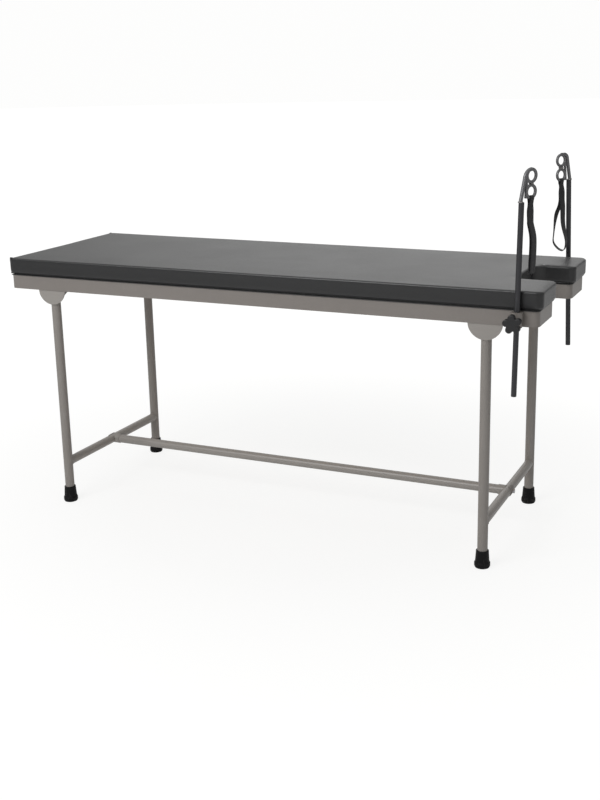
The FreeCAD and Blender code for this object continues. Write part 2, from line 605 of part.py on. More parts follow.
def make_stretcher():
    """Stretcher between the crossbars, with its sleeves, plugs, saddle washers and bolts."""
    bars = []
    sleeves = []
    plugs = []
    saddles = []
    bolts = []
    radius = "(Dims.bar_diameter / 2)"
    plug_radius = "(Dims.bar_diameter / 2 - Dims.bar_wall)"
    for end, sign in ENDS:
        x = "%d * %s" % (sign, LEG_X)
        bar_space = cylinder("BarSpace_" + end, radius, "Dims.pad_width", "y", x, "-Dims.pad_width / 2",
                             "Dims.bar_height")
        bars.append(bar_space)

        sleeve_length = "(Dims.sleeve_length + Dims.sleeve_lip)"
        sleeve = tube("Sleeve_" + end, "YZ_Plane", "Dims.sleeve_diameter / 2", radius, sleeve_length)
        sleeve_x = "%s - %d * (%s + Dims.sleeve_length - %s / 2)" % (x, sign, radius, sleeve_length)
        place(sleeve, sleeve_x, "0", "Dims.bar_height")
        sleeves.append(cut("CopedSleeve_" + end, sleeve, bar_space))

        plug = tube("Plug_" + end, "YZ_Plane", plug_radius, "Dims.bolt_diameter / 2", "Dims.plug_length")
        place(plug, "%s - %d * (%s + Dims.plug_length / 2)" % (x, sign, radius), "0", "Dims.bar_height")
        plugs.append(plug)

        saddle = tube("Saddle_" + end, "XZ_Plane", "%s + Dims.saddle_wall" % radius, radius, "Dims.saddle_length")
        place(saddle, x, "0", "Dims.bar_height")
        side_box = doc.addObject("Part::Box", "SaddleBox_" + end)
        side_box.setExpression("Length", "Dims.saddle_depth")
        side_box.setExpression("Width", "Dims.saddle_length")
        side_box.setExpression("Height", "Dims.bar_diameter * 2")
        outer_edge = "(%s + Dims.saddle_wall)" % radius
        corner = outer_edge + (" - Dims.saddle_depth" if sign > 0 else "")
        place(side_box, "%s + %d * (%s)" % (x, sign, corner), "-Dims.saddle_length / 2",
              "Dims.bar_height - Dims.bar_diameter")
        hole = cylinder("SaddleHole_" + end, "Dims.bolt_diameter / 2 + Dims.bolt_play", "Dims.bar_diameter * 2",
                        "x", "%s - Dims.bar_diameter" % x, "0", "Dims.bar_height")
        saddles.append(cut("DrilledSaddle_" + end, common("SaddlePiece_" + end, saddle, side_box), hole))

        shank_length = "(Dims.saddle_wall + Dims.bar_diameter + Dims.bolt_grip)"
        shank = tube("BoltShank_" + end, "YZ_Plane", "Dims.bolt_diameter / 2", None, shank_length)
        place(shank, "%s + %d * (%s - %s / 2)" % (x, sign, outer_edge, shank_length), "0", "Dims.bar_height")
        head = hex_prism("BoltHead_" + end, "Dims.bolt_head_width", "Dims.bolt_head_height")
        head.Placement = FreeCAD.Placement(FreeCAD.Vector(), FreeCAD.Rotation(Y_AXIS, 90 * sign))
        place(head, "%s + %d * %s" % (x, sign, outer_edge), "0", "Dims.bar_height")
        bolts.append(fuse("Bolt_" + end, [shank, head]))

    stretcher = tube("Stretcher", "YZ_Plane", radius, plug_radius, "2 * " + LEG_X)
    place(stretcher, "0", "0", "Dims.bar_height")
    keep("stretcher", cut("CopedStretcher", stretcher, fuse("StretcherRoom", bars)))
    keep("stretcher_sleeves", group("Sleeves", sleeves))
    keep("stretcher_plugs", group("Plugs", plugs))
    keep("saddle_washers", group("Saddles", saddles))
    keep("stretcher_bolts", group("Bolts", bolts))


def hex_prism(name, across_flats, height):
    prism = doc.addObject("Part::Prism", name)
    prism.Polygon = 6
    prism.setExpression("Circumradius", "%s / sqrt(3)" % across_flats)
    prism.setExpression("Height", height)
    return prism


def socket_point(side, sign):
    """Middle of a pole socket, on the pole's axis."""
    along = value("pad_length") / 2 - value("pole_inset") + value(side + "_pole_shift")
    half_width = value("pad_width") / 2 - value("pad_overhang")
    height = value("pad_top") - value("pad_thickness") - value("rail_height") / 2
    return FreeCAD.Vector(along, sign * (half_width + value("socket_diameter") / 2), height)


def pole_frame(side, sign, turned=False):
    """Placement of what belongs to a pole: it leans, and its ring head is turned about it."""
    rotation = FreeCAD.Rotation(Y_AXIS, value(side + "_lean"))
    if turned:
        rotation = rotation * FreeCAD.Rotation(Z_AXIS, value(side + "_turn"))
    return FreeCAD.Placement(socket_point(side, sign), rotation)


def clamp_frame(side, sign, turn=0.0):
    """Placement of what turns on the clamp screw's axis, which points away from the table."""
    start = socket_point(side, sign) - FreeCAD.Vector(0, 0, value("clamp_drop"))
    rotation = FreeCAD.Rotation(X_AXIS, -90 * sign) * FreeCAD.Rotation(Z_AXIS, turn)
    return FreeCAD.Placement(start, rotation)


def make_socket(side, sign):
    height = "Dims.rail_height - 2 * Dims.socket_short"
    blank = tube("Socket_" + side, "XY_Plane", "Dims.socket_diameter / 2",
                 "Dims.pole_diameter / 2 + Dims.pole_play", height)
    blank.Placement = pole_frame(side, sign)
    hole = doc.addObject("Part::Cylinder", "SocketHole_" + side)
    hole.setExpression("Radius", "Dims.clamp_diameter / 2 + Dims.clamp_hole_play")
    hole.setExpression("Height", "Dims.socket_diameter")
    hole.Placement = clamp_frame(side, sign)
    keep("pole_socket_" + side, cut("DrilledSocket_" + side, blank, hole))


def make_nut(side, sign):
    body = new_body("Nut_" + side)
    sketch = new_sketch(body, "XY_Plane", "NutOutline_" + side, "Dims.socket_diameter / 2")
    corner = "(Dims.nut_width / sqrt(3))"
    flat = "(Dims.nut_width / 2)"
    draw_polygon(sketch, [
        (corner, "0"), (corner + " / 2", flat), ("-%s / 2" % corner, flat),
        ("-" + corner, "0"), ("-%s / 2" % corner, "-" + flat), (corner + " / 2", "-" + flat)])
    draw_circle(sketch, "Dims.clamp_diameter / 2 + Dims.clamp_play")
    add_pad(body, sketch, "Dims.nut_height")
    body.Placement = clamp_frame(side, sign)
    return body


def make_clamp_screw(side, sign):
    radius = "(Dims.clamp_diameter / 2)"
    tip = "(Dims.pole_diameter / 2 + Dims.clamp_gap)"
    top = "(%s + Dims.clamp_in_knob)" % KNOB_SEAT
    body = revolved("ClampScrew_" + side, [
        ("0", tip), ("%s - 1" % radius, tip), (radius, "%s + 1" % tip),
        (radius, "%s - 1" % top), ("%s - 1" % radius, top), ("0", top)])
    body.Placement = clamp_frame(side, sign)
    keep("clamp_screw_" + side, body)


def make_knob(side, sign):
    """Star knob: a core with five lobes, a hub behind it and a blind hole for the screw."""
    body = new_body("Knob_" + side)
    star_seat = "(%s + Dims.hub_length)" % KNOB_SEAT
    core_sketch = new_sketch(body, "XY_Plane", "KnobCore_" + side, star_seat)
    draw_circle(core_sketch, "Dims.knob_core / 2")
    add_pad(body, core_sketch, "Dims.knob_thickness")
    lobe_sketch = new_sketch(body, "XY_Plane", "KnobLobe_" + side, star_seat)
    draw_circle(lobe_sketch, "Dims.lobe_radius", "0", "Dims.lobe_reach")
    lobe = add_pad(body, lobe_sketch, "Dims.knob_thickness")
    doc.recompute()
    star = body.newObject("PartDesign::PolarPattern", "KnobStar_" + side)
    star.Originals = [lobe]
    star.Axis = (lobe_sketch, ["N_Axis"])
    star.Angle = 360.0
    star.Occurrences = LOBES
    body.Tip = star
    doc.recompute()
    bottom = star.Shape.BoundBox.ZMin
    top = star.Shape.BoundBox.ZMax
    rims = level_edges(star.Shape, top) + level_edges(star.Shape, bottom)
    add_fillet(body, star, rims, "Dims.knob_edge")
    doc.recompute()
    hub_sketch = new_sketch(body, "XY_Plane", "KnobHub_" + side, KNOB_SEAT)
    draw_circle(hub_sketch, "Dims.hub_diameter / 2")
    add_pad(body, hub_sketch, "Dims.hub_length + Dims.knob_edge")
    hole_sketch = new_sketch(body, "XY_Plane", "KnobHole_" + side, KNOB_SEAT)
    draw_circle(hole_sketch, "Dims.clamp_diameter / 2 + Dims.clamp_play")
    doc.recompute()
    before = body.Shape.Volume
    hole = body.newObject("PartDesign::Pocket", "KnobBore_" + side)
    hole.Profile = hole_sketch
    hole.setExpression("Length", "Dims.clamp_in_knob + Dims.clamp_gap")
    hole.Reversed = True
    doc.recompute()
    bored = before - body.Shape.Volume
    expected = math.pi * (value("clamp_diameter") / 2) ** 2 * value("clamp_in_knob")
    if bored < 0.9 * expected:
        raise RuntimeError("the knob's bore cuts nothing")
    body.Placement = clamp_frame(side, sign, value(side + "_knob_rest"))
    keep("star_knob_" + side, body)


def make_rod(side, sign):
    radius = "(Dims.pole_diameter / 2)"
    bevelled = "(%s - Dims.pole_chamfer)" % radius
    below = "-Dims.%s_pole_below" % side
    body = revolved("Pole_" + side, [
        ("0", below), (bevelled, below),
        (radius, below + " + Dims.pole_chamfer"), (radius, "Dims.pole_above - Dims.pole_chamfer"),
        (bevelled, "Dims.pole_above"), ("0", "Dims.pole_above")])
    body.Placement = pole_frame(side, sign)
    keep("pole_rod_" + side, body)


def make_ring_head(side, sign):
    """Bent bar that reaches over two rings, one above the other, with a straight spine beside them."""
    foot = FreeCAD.Vector(value("head_foot"), value("pole_above"), 0)
    prefix = "Dims." + side + "_"
    curl = value(side + "_curl_radius")
    upper = value("pole_above") + value(side + "_ring_rise") + value(side + "_ring_pitch")
    top_height = upper + value("ring_radius") + value(side + "_bar_lift")
    top = FreeCAD.Vector(value(side + "_curl_reach"), top_height, 0)
    centre = top - FreeCAD.Vector(0, curl, 0)
    to_centre = centre - foot
    aim = math.atan2(to_centre.y, to_centre.x)
    swing = math.asin(curl / to_centre.Length)
    reach = math.sqrt(to_centre.Length ** 2 - curl ** 2)
    touch = foot + FreeCAD.Vector(reach * math.cos(aim + swing), reach * math.sin(aim + swing), 0)
    start_angle = math.atan2(touch.y - centre.y, touch.x - centre.x)

    body = new_body("HeadBar_" + side)
    spine = new_sketch(body, "XZ_Plane", "HeadBarPath_" + side)
    line = spine.addGeometry(Part.LineSegment(foot, touch), False)
    circle = Part.Circle(centre, Z_AXIS, curl)
    arc = spine.addGeometry(Part.ArcOfCircle(circle, math.pi / 2, start_angle), False)
    spine.addConstraint(Sketcher.Constraint("Tangent", line, 2, arc, 2))
    hold_point(spine, line, 1, "Dims.head_foot", "Dims.pole_above")
    lower_z = "Dims.pole_above + %sring_rise" % prefix
    upper_z = "%s + %sring_pitch" % (lower_z, prefix)
    ring_top = "%s + Dims.ring_radius + %sbar_lift" % (upper_z, prefix)
    hold_point(spine, arc, 3, prefix + "curl_reach", "%s - %scurl_radius" % (ring_top, prefix))
    hold_radius(spine, arc, prefix + "curl_radius")
    end = spine.addConstraint(Sketcher.Constraint("DistanceX", -1, 1, arc, 1, top.x))
    spine.setExpression("Constraints[%d]" % end, prefix + "curl_reach")
    path = ["Edge1", "Edge2"]
    if top.x < value("ring_reach"):
        over_ring = FreeCAD.Vector(value("ring_reach"), top.y, 0)
        level = spine.addGeometry(Part.LineSegment(top, over_ring), False)
        spine.addConstraint(Sketcher.Constraint("Coincident", level, 1, arc, 1))
        hold_point(spine, level, 2, "Dims.ring_reach", ring_top)
        path.append("Edge3")
    section = new_sketch(body, "XY_Plane", "HeadBarSection_" + side, "Dims.pole_above")
    draw_circle(section, "Dims.head_bar / 2", "Dims.head_foot")
    pipe = body.newObject("PartDesign::AdditivePipe", "HeadBarPipe_" + side)
    pipe.Profile = section
    pipe.Spine = (spine, path)
    doc.recompute()

    pieces = [body]
    wire = "Dims.ring_wire / 2"
    for name, z in (("Lower", lower_z), ("Upper", upper_z)):
        ring = doc.addObject("Part::Torus", "%sRing_%s" % (name, side))
        ring.setExpression("Radius1", "Dims.ring_radius")
        ring.setExpression("Radius2", wire)
        ring.Placement = FreeCAD.Placement(FreeCAD.Vector(), FreeCAD.Rotation(X_AXIS, 90))
        place(ring, "Dims.ring_reach", "0", z)
        pieces.append(ring)
    spine_length = value(side + "_ring_pitch") + value("ring_radius")
    tilt = math.degrees(math.atan2(value("spine_splay"), spine_length))
    spine_wire = doc.addObject("Part::Cylinder", "RingSpine_" + side)
    spine_wire.setExpression("Radius", "Dims.spine_wire / 2")
    spine_wire.setExpression("Height", "%sring_pitch + Dims.ring_radius" % prefix)
    spine_wire.Placement = FreeCAD.Placement(FreeCAD.Vector(), FreeCAD.Rotation(Y_AXIS, tilt))
    place(spine_wire, "Dims.ring_reach - Dims.ring_radius - Dims.spine_splay", "0", lower_z + " - Dims.ring_radius")
    pieces.append(spine_wire)
    head = fuse("RingHead_" + side, pieces)
    head.Placement = pole_frame(side, sign, turned=True)
    keep("ring_head_" + side, head)


def draw_teardrop(sketch, half_top, radius, top, centre):
    """Loop that hangs from a flat or pointed top; sizes are (number, expression) pairs."""
    centre_point = FreeCAD.Vector(0, centre[0], 0)
    lines = []
    touches = []
    for sign in (-1, 1):
        start = FreeCAD.Vector(sign * half_top[0], top[0], 0)
        to_centre = centre_point - start
        aim = math.atan2(to_centre.y, to_centre.x)
        swing = math.asin(radius[0] / to_centre.Length)
        reach = math.sqrt(to_centre.Length ** 2 - radius[0] ** 2)
        angle = aim + sign * swing
        touch = start + FreeCAD.Vector(reach * math.cos(angle), reach * math.sin(angle), 0)
        touches.append(math.atan2(touch.y - centre_point.y, touch.x - centre_point.x))
        lines.append(sketch.addGeometry(Part.LineSegment(start, touch), False))
    circle = Part.Circle(centre_point, Z_AXIS, radius[0])
    arc = sketch.addGeometry(Part.ArcOfCircle(circle, touches[0], touches[1] + 2 * math.pi), False)
    sketch.addConstraint(Sketcher.Constraint("Tangent", lines[0], 2, arc, 1))
    sketch.addConstraint(Sketcher.Constraint("Tangent", lines[1], 2, arc, 2))
    hold_point(sketch, lines[0], 1, "-" + half_top[1], top[1])
    if half_top[0] > 0:
        hold_point(sketch, lines[1], 1, half_top[1], top[1])
        left = FreeCAD.Vector(-half_top[0], top[0], 0)
        right = FreeCAD.Vector(half_top[0], top[0], 0)
        lid = sketch.addGeometry(Part.LineSegment(left, right), False)
        sketch.addConstraint(Sketcher.Constraint("Coincident", lid, 1, lines[0], 1))
        sketch.addConstraint(Sketcher.Constraint("Coincident", lid, 2, lines[1], 1))
    else:
        sketch.addConstraint(Sketcher.Constraint("Coincident", lines[0], 1, lines[1], 1))
    hold_point(sketch, arc, 3, "0", centre[1])
    hold_radius(sketch, arc, radius[1])


def make_strap(side, sign):
    """Webbing: an eye round the ring, a sewn neck and the loop that hangs from it."""
    prefix = "Dims." + side + "_"
    eye_inner = "Dims.ring_wire / 2 + Dims.eye_play"
    eye = tube("StrapEye_" + side, "YZ_Plane", eye_inner + " + Dims.strap_wall", eye_inner, "Dims.eye_width")

    neck = new_body("StrapNeck_" + side)
    sketch = new_sketch(neck, "XZ_Plane", "NeckOutline_" + side)
    neck_top = "-(%s + Dims.strap_wall / 2)" % eye_inner
    spread = "(%s - Dims.strap_flare)" % neck_top
    neck_end = "(-%sstrap_neck)" % prefix
    draw_polygon(sketch, [
        ("-Dims.eye_width / 2", neck_top), ("-Dims.strap_width / 2", spread),
        ("-Dims.strap_width / 2", neck_end), ("Dims.strap_width / 2", neck_end),
        ("Dims.strap_width / 2", spread), ("Dims.eye_width / 2", neck_top)])
    add_pad(neck, sketch, "2 * Dims.strap_wall", middle=True)

    loop = new_body("StrapLoop_" + side)
    sketch = new_sketch(loop, "YZ_Plane", "LoopOutline_" + side)
    wall = value("strap_wall")
    radius = value(side + "_loop_width") / 2
    hang = value(side + "_strap_hang")
    top = (-value(side + "_strap_neck"), neck_end)
    centre = (-hang + radius, "-%sstrap_hang + %sloop_width / 2" % (prefix, prefix))
    draw_teardrop(sketch, (wall, "Dims.strap_wall"), (radius, "%sloop_width / 2" % prefix), top, centre)
    crotch = (top[0] - wall, neck_end + " - Dims.strap_wall")
    draw_teardrop(sketch, (0, "0"), (radius - wall, "%sloop_width / 2 - Dims.strap_wall" % prefix), crotch, centre)
    add_pad(loop, sketch, "Dims.strap_width", middle=True)

    strap = fuse("Strap_" + side, [eye, neck, loop])
    frame = pole_frame(side, sign, turned=True)
    height = value("pole_above") + value(side + "_ring_rise") - value("ring_radius")
    hook = frame.multVec(FreeCAD.Vector(value("ring_reach"), 0, height))
    strap.Placement = FreeCAD.Placement(hook, FreeCAD.Rotation(Z_AXIS, value(side + "_turn")))
    keep("strap_" + side, strap)


def make_poles():
    nuts = []
    for side, sign in SIDES:
        make_socket(side, sign)
        nuts.append(make_nut(side, sign))
        make_clamp_screw(side, sign)
        make_knob(side, sign)
        make_rod(side, sign)
        make_ring_head(side, sign)
        make_strap(side, sign)
    keep("weld_nuts", group("Nuts", nuts))


def check_and_export():
    """Stop at any failed object or bad shape, then write one file for each sub-part."""
    doc.recompute()
    for feature in doc.Objects:
        if "Invalid" in feature.State or "Error" in feature.State:
            raise RuntimeError("failed: " + feature.Name)
    os.makedirs("parts", exist_ok=True)
    for name, feature in parts.items():
        shape = feature.Shape
        if shape.isNull() or not shape.isValid() or not shape.Solids:
            raise RuntimeError("bad shape: " + name)
    for name, feature in parts.items():
        feature.Shape.exportStep("parts/%s.step" % name)
        box = feature.Shape.BoundBox
        print("%-24s solids %2d  volume %10.1f cm3  z %7.1f to %7.1f"
              % (name, len(feature.Shape.Solids), feature.Shape.Volume / 1000, box.ZMin, box.ZMax))
    print("%d sub-parts" % len(parts))


make_pad()
make_board_screws()
make_rails()
make_cross_members()
make_legs()
make_stretcher()
make_poles()
check_and_export()
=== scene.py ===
import json
import math
import random

import bmesh
import bpy
from mathutils import Matrix, Vector, noise


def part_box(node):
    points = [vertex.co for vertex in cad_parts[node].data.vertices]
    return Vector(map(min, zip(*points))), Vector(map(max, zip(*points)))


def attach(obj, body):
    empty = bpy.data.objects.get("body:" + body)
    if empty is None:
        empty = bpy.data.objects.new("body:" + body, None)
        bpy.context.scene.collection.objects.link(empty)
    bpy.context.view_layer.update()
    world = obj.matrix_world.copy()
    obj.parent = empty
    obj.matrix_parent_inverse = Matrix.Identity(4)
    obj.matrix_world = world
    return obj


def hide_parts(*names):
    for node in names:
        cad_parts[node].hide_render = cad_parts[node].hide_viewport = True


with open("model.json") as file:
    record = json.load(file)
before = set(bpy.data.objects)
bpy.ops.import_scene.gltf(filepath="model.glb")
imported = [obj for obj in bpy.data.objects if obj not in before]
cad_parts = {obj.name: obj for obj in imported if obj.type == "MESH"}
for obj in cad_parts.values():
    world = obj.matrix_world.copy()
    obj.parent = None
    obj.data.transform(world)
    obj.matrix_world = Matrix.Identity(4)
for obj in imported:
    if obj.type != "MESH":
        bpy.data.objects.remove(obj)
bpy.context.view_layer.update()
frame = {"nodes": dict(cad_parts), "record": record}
JOINTS = {joint["name"]: joint for joint in frame["record"]["behaviour"]["joints"]}

# Sizes of the table that the new pieces share with the solids, in metres.
pad_low, pad_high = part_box("pad_cover")
board_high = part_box("pad_board")[1]
leg_low, leg_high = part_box("leg_tube_foot_far")
bar_low, bar_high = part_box("crossbar_foot")
bracket_low, bracket_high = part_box("leg_bracket_foot_far")
PAD_HALF_LENGTH = pad_high.x
PAD_HALF_WIDTH = pad_high.y
PAD_TOP = pad_high.z
PAD_BOTTOM = pad_low.z
BOARD_TOP = board_high.z
HEAD_CORNER = 0.014
LOBE_CORNER = 0.024
PAD_EDGE = 0.008
PAD_LIP = 0.0042
PAD_LIP_EDGE = 0.007
# The hem under the cover, from the frame up to the lip: inset, inset at the foot end, height over the frame.
HEM_STEPS = (
    (0.001, 0.009, 0.0),
    (0.001, 0.009, 0.0008),
    (0.010, 0.0115, 0.0008),
    (0.010, 0.0115, PAD_LIP),
    (0.0, 0.0, PAD_LIP),
)
PAD_SWELL = 0.0012
NOTCH_HALF = 0.120
NOTCH_DEPTH = 0.129
NOTCH_END = PAD_HALF_LENGTH - NOTCH_DEPTH
NOTCH_CORNER = 0.045
HEM_WIDTH = 0.035
LEG_X = (leg_low.x + leg_high.x) / 2
LEG_Y = (leg_low.y + leg_high.y) / 2
LEG_RADIUS = (leg_high.x - leg_low.x) / 2
BAR_RADIUS = (bar_high.z - bar_low.z) / 2
BAR_HEIGHT = (bar_high.z + bar_low.z) / 2
BRACKET_LOW = bracket_low.z
BRACKET_RADIUS = (bracket_high.x - bracket_low.x) / 2
RING_REACH = 0.036
RING_RADIUS = 0.0175
RING_WIRE = 0.0045
RING_RISE = {"near": 0.027, "far": 0.017}
RING_PITCH = {"near": 0.044, "far": 0.0465}
BAR_FOOT = 0.004
STRAP_WALL = 0.0022
STRAP_WIDTH = 0.025
EYE_WIDTH = 0.013


# Helpers for meshes.

def finish_mesh(mesh, name, body, material):
    """Turn a bmesh into a piece that rides on a body and shows one material."""
    bmesh.ops.recalc_face_normals(mesh, faces=mesh.faces)
    data = bpy.data.meshes.new(name)
    mesh.to_mesh(data)
    mesh.free()
    piece = bpy.data.objects.new(name, data)
    bpy.context.scene.collection.objects.link(piece)
    data.materials.append(material)
    for polygon in data.polygons:
        polygon.use_smooth = True
    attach(piece, body)
    return piece


def add_modifier(piece, kind, **settings):
    modifier = piece.modifiers.new(kind.title(), kind)
    for key, setting in settings.items():
        setattr(modifier, key, setting)
    return modifier


def apply_modifiers(piece):
    """Replace a piece's mesh by what its modifiers make of it."""
    bpy.context.view_layer.update()
    depsgraph = bpy.context.evaluated_depsgraph_get()
    shaped = bpy.data.meshes.new_from_object(piece.evaluated_get(depsgraph), depsgraph=depsgraph)
    piece.modifiers.clear()
    piece.data = shaped


# Helpers for materials.

def new_group(name, inputs, outputs):
    """Empty shader group with named inputs and outputs; inputs are (name, kind, start value)."""
    group = bpy.data.node_groups.new(name, "ShaderNodeTree")
    for label, kind, start in inputs:
        socket = group.interface.new_socket(name=label, in_out="INPUT", socket_type="NodeSocket" + kind)
        socket.default_value = start
    for label, kind in outputs:
        group.interface.new_socket(name=label, in_out="OUTPUT", socket_type="NodeSocket" + kind)
    entry = group.nodes.new("NodeGroupInput")
    result = group.nodes.new("NodeGroupOutput")
    return group, entry.outputs, result.inputs


def feed(tree, socket, source):
    """Give a socket a plain value, or link another node's output to it."""
    if isinstance(source, bpy.types.NodeSocket):
        tree.links.new(source, socket)
    else:
        socket.default_value = source


def add_node(tree, kind, settings=None, **inputs):
    """Node of a tree with its settings and inputs; an input is a value or another node's output."""
    node = tree.nodes.new("ShaderNode" + kind)
    for key, setting in (settings or {}).items():
        setattr(node, key, setting)
    for label, source in inputs.items():
        feed(tree, node.inputs[label.replace("_", " ")], source)
    return node


# Places of a Mix node's sockets: its factor, its two numbers and its two colours, and what it gives.
MIX_FACTOR = 0
MIX_NUMBERS = (2, 3)
MIX_COLOURS = (6, 7)
MIXED_COLOUR = 2


def mix_colours(tree, factor, first, second, blend="MIX"):
    node = tree.nodes.new("ShaderNodeMix")
    node.data_type = "RGBA"
    node.blend_type = blend
    for place, source in zip((MIX_FACTOR, *MIX_COLOURS), (factor, first, second)):
        feed(tree, node.inputs[place], source)
    return node.outputs[MIXED_COLOUR]


def calculate(tree, operation, *terms):
    node = tree.nodes.new("ShaderNodeMath")
    node.operation = operation
    for socket, source in zip(node.inputs, terms):
        feed(tree, socket, source)
    return node.outputs[0]


def between(tree, source, given, wanted):
    """A value that runs over one range, brought to another."""
    node = add_node(tree, "MapRange", Value=source)
    node.inputs["From Min"].default_value, node.inputs["From Max"].default_value = given
    node.inputs["To Min"].default_value, node.inputs["To Max"].default_value = wanted
    return node.outputs[0]


def spread(tree, mask, low, high):
    """A mask spread between two values."""
    return between(tree, mask, (0.0, 1.0), (low, high))


def object_point(tree, stretch=(1.0, 1.0, 1.0)):
    """Object coordinates, stretched where a grain runs along an axis."""
    place = tree.nodes.new("ShaderNodeTexCoord").outputs["Object"]
    if tuple(stretch) == (1.0, 1.0, 1.0):
        return place
    mapping = tree.nodes.new("ShaderNodeMapping")
    mapping.inputs["Scale"].default_value = stretch
    tree.links.new(place, mapping.inputs["Vector"])
    return mapping.outputs["Vector"]


def make_drift_group():
    """Slow change of a colour over a surface, with fine specks in it."""
    group, given, result = new_group(
        "colour_drift",
        [("Color", "Color", (0.5, 0.5, 0.5, 1)), ("Drift", "Float", 0.1), ("Drift Scale", "Float", 6.0),
         ("Speck", "Float", 0.05), ("Speck Scale", "Float", 400.0)],
        [("Color", "Color"), ("Mask", "Float")])
    place = object_point(group)
    slow = add_node(group, "TexNoise", Vector=place, Scale=given["Drift Scale"], Detail=4.0, Roughness=0.55)
    fine = add_node(group, "TexNoise", Vector=place, Scale=given["Speck Scale"], Detail=2.0)
    changes = []
    for texture, amount in ((slow, given["Drift"]), (fine, given["Speck"])):
        centred = calculate(group, "SUBTRACT", texture.outputs["Fac"], 0.5)
        changes.append(calculate(group, "MULTIPLY", centred, amount))
    change = calculate(group, "ADD", calculate(group, "ADD", *changes), 1.0)
    shade = add_node(group, "CombineXYZ", X=change, Y=change, Z=change)
    group.links.new(mix_colours(group, 1.0, given["Color"], shade.outputs[0], "MULTIPLY"), result["Color"])
    group.links.new(slow.outputs["Fac"], result["Mask"])
    return group


def make_pebble_group():
    """Height of a pebbled hide: rounded cells with soft creases between them."""
    group, given, result = new_group(
        "pebble_grain",
        [("Cell Scale", "Float", 700.0), ("Crease", "Float", 0.3)],
        [("Height", "Float"), ("Creases", "Float")])
    place = object_point(group)
    bend = add_node(group, "TexNoise", Vector=place, Scale=60.0, Detail=2.0)
    moved = mix_colours(group, 0.012, place, bend.outputs["Color"], "LINEAR_LIGHT")
    cells, lines = [
        add_node(group, "TexVoronoi", {"feature": feature}, Vector=moved, Scale=given["Cell Scale"])
        for feature in ("SMOOTH_F1", "DISTANCE_TO_EDGE")
    ]
    crease = between(group, lines.outputs["Distance"], (0.0, 0.25), (0.0, 1.0))
    top = calculate(group, "SUBTRACT", 1.0, cells.outputs["Distance"])
    height = calculate(group, "ADD", calculate(group, "MULTIPLY", crease, given["Crease"]), top)
    group.links.new(height, result["Height"])
    group.links.new(crease, result["Creases"])
    return group


def make_scuff_group():
    """Mask of rubbed streaks and chips, more of them the lower the piece is."""
    group, given, result = new_group(
        "scuffs",
        [("Amount", "Float", 0.3), ("Scale", "Float", 30.0), ("Fade Height", "Float", 0.9)],
        [("Mask", "Float")])
    place = object_point(group)
    patches = add_node(group, "TexNoise", Vector=place, Scale=given["Scale"], Detail=6.0, Roughness=0.7)
    drawn_out = object_point(group, (1.0, 1.0, 0.12))
    streaks = add_node(group, "TexNoise", Vector=drawn_out, Scale=120.0, Detail=3.0)
    rubbed = calculate(group, "MULTIPLY", patches.outputs["Fac"], streaks.outputs["Fac"])
    spot = between(group, rubbed, (0.3, 0.42), (0.0, 1.0))
    parts = add_node(group, "SeparateXYZ", Vector=place)
    height_share = calculate(group, "DIVIDE", parts.outputs["Z"], given["Fade Height"])
    low = calculate(group, "MAXIMUM", calculate(group, "SUBTRACT", 1.0, height_share), 0.15)
    mask = calculate(group, "MULTIPLY", calculate(group, "MULTIPLY", spot, low), given["Amount"])
    group.links.new(mask, result["Mask"])
    return group


def make_weave_group():
    """Height of woven webbing, and a painted shade that darkens the valleys between its ribs, from its own
    map: u across it and v along it, in metres.
    """
    group, given, result = new_group(
        "webbing_weave",
        [("Rib Pitch", "Float", 0.0016), ("Pick Pitch", "Float", 0.0011)],
        [("Height", "Float"), ("Painted Shade", "Float")])
    parts = add_node(group, "SeparateXYZ", Vector=add_node(group, "UVMap").outputs["UV"])
    along = parts.outputs["Y"]
    slant = calculate(group, "ADD", parts.outputs["X"], calculate(group, "MULTIPLY", along, 0.9))
    waves = []
    for way, pitch, share in ((slant, "Rib Pitch", 0.6), (along, "Pick Pitch", 0.4)):
        turns = calculate(group, "DIVIDE", calculate(group, "MULTIPLY", way, 2 * math.pi), given[pitch])
        waves.append(calculate(group, "MULTIPLY", calculate(group, "SINE", turns), share))
    height = calculate(group, "ADD", *waves)
    group.links.new(height, result["Height"])
    # Painted shade: the colour falls to half in the valleys of the weave.
    group.links.new(calculate(group, "MULTIPLY_ADD", height, 0.25, 0.75), result["Painted Shade"])
    return group


DRIFT = make_drift_group()
PEBBLE = make_pebble_group()
SCUFFS = make_scuff_group()
WEAVE = make_weave_group()


def use_group(tree, group, **inputs):
    node = tree.nodes.new("ShaderNodeGroup")
    node.node_tree = group
    for label, source in inputs.items():
        feed(tree, node.inputs[label.replace("_", " ")], source)
    return node.outputs


def new_material(name, **shader_values):
    """Material with its own principled shader, whose plain values are set on the shader itself."""
    material = bpy.data.materials.new(name)
    material.use_nodes = True
    tree = material.node_tree
    shader = tree.nodes["Principled BSDF"]
    for label, setting in shader_values.items():
        shader.inputs[label.replace("_", " ")].default_value = setting
    return material, tree, shader


def bump(tree, shader, height, strength, distance):
    node = add_node(tree, "Bump", Height=height, Strength=strength, Distance=distance)
    tree.links.new(node.outputs["Normal"], shader.inputs["Normal"])


def make_leatherette():
    material, tree, shader = new_material("dark_leatherette", Specular_IOR_Level=0.6, Sheen_Weight=0.3,
                                          Sheen_Roughness=0.25)
    hide = use_group(tree, PEBBLE, Cell_Scale=520.0, Crease=0.35)
    tone = use_group(tree, DRIFT, Color=(0.010, 0.0102, 0.0108, 1), Drift=0.25, Drift_Scale=5.0, Speck=0.1,
                     Speck_Scale=350.0)
    creases = spread(tree, hide["Creases"], 0.35, 0.0)
    colour = mix_colours(tree, creases, tone["Color"], (0.01, 0.01, 0.011, 1))
    tree.links.new(colour, shader.inputs["Base Color"])
    tree.links.new(spread(tree, tone["Mask"], 0.33, 0.43), shader.inputs["Roughness"])
    bump(tree, shader, hide["Height"], 0.25, 0.0004)
    return material


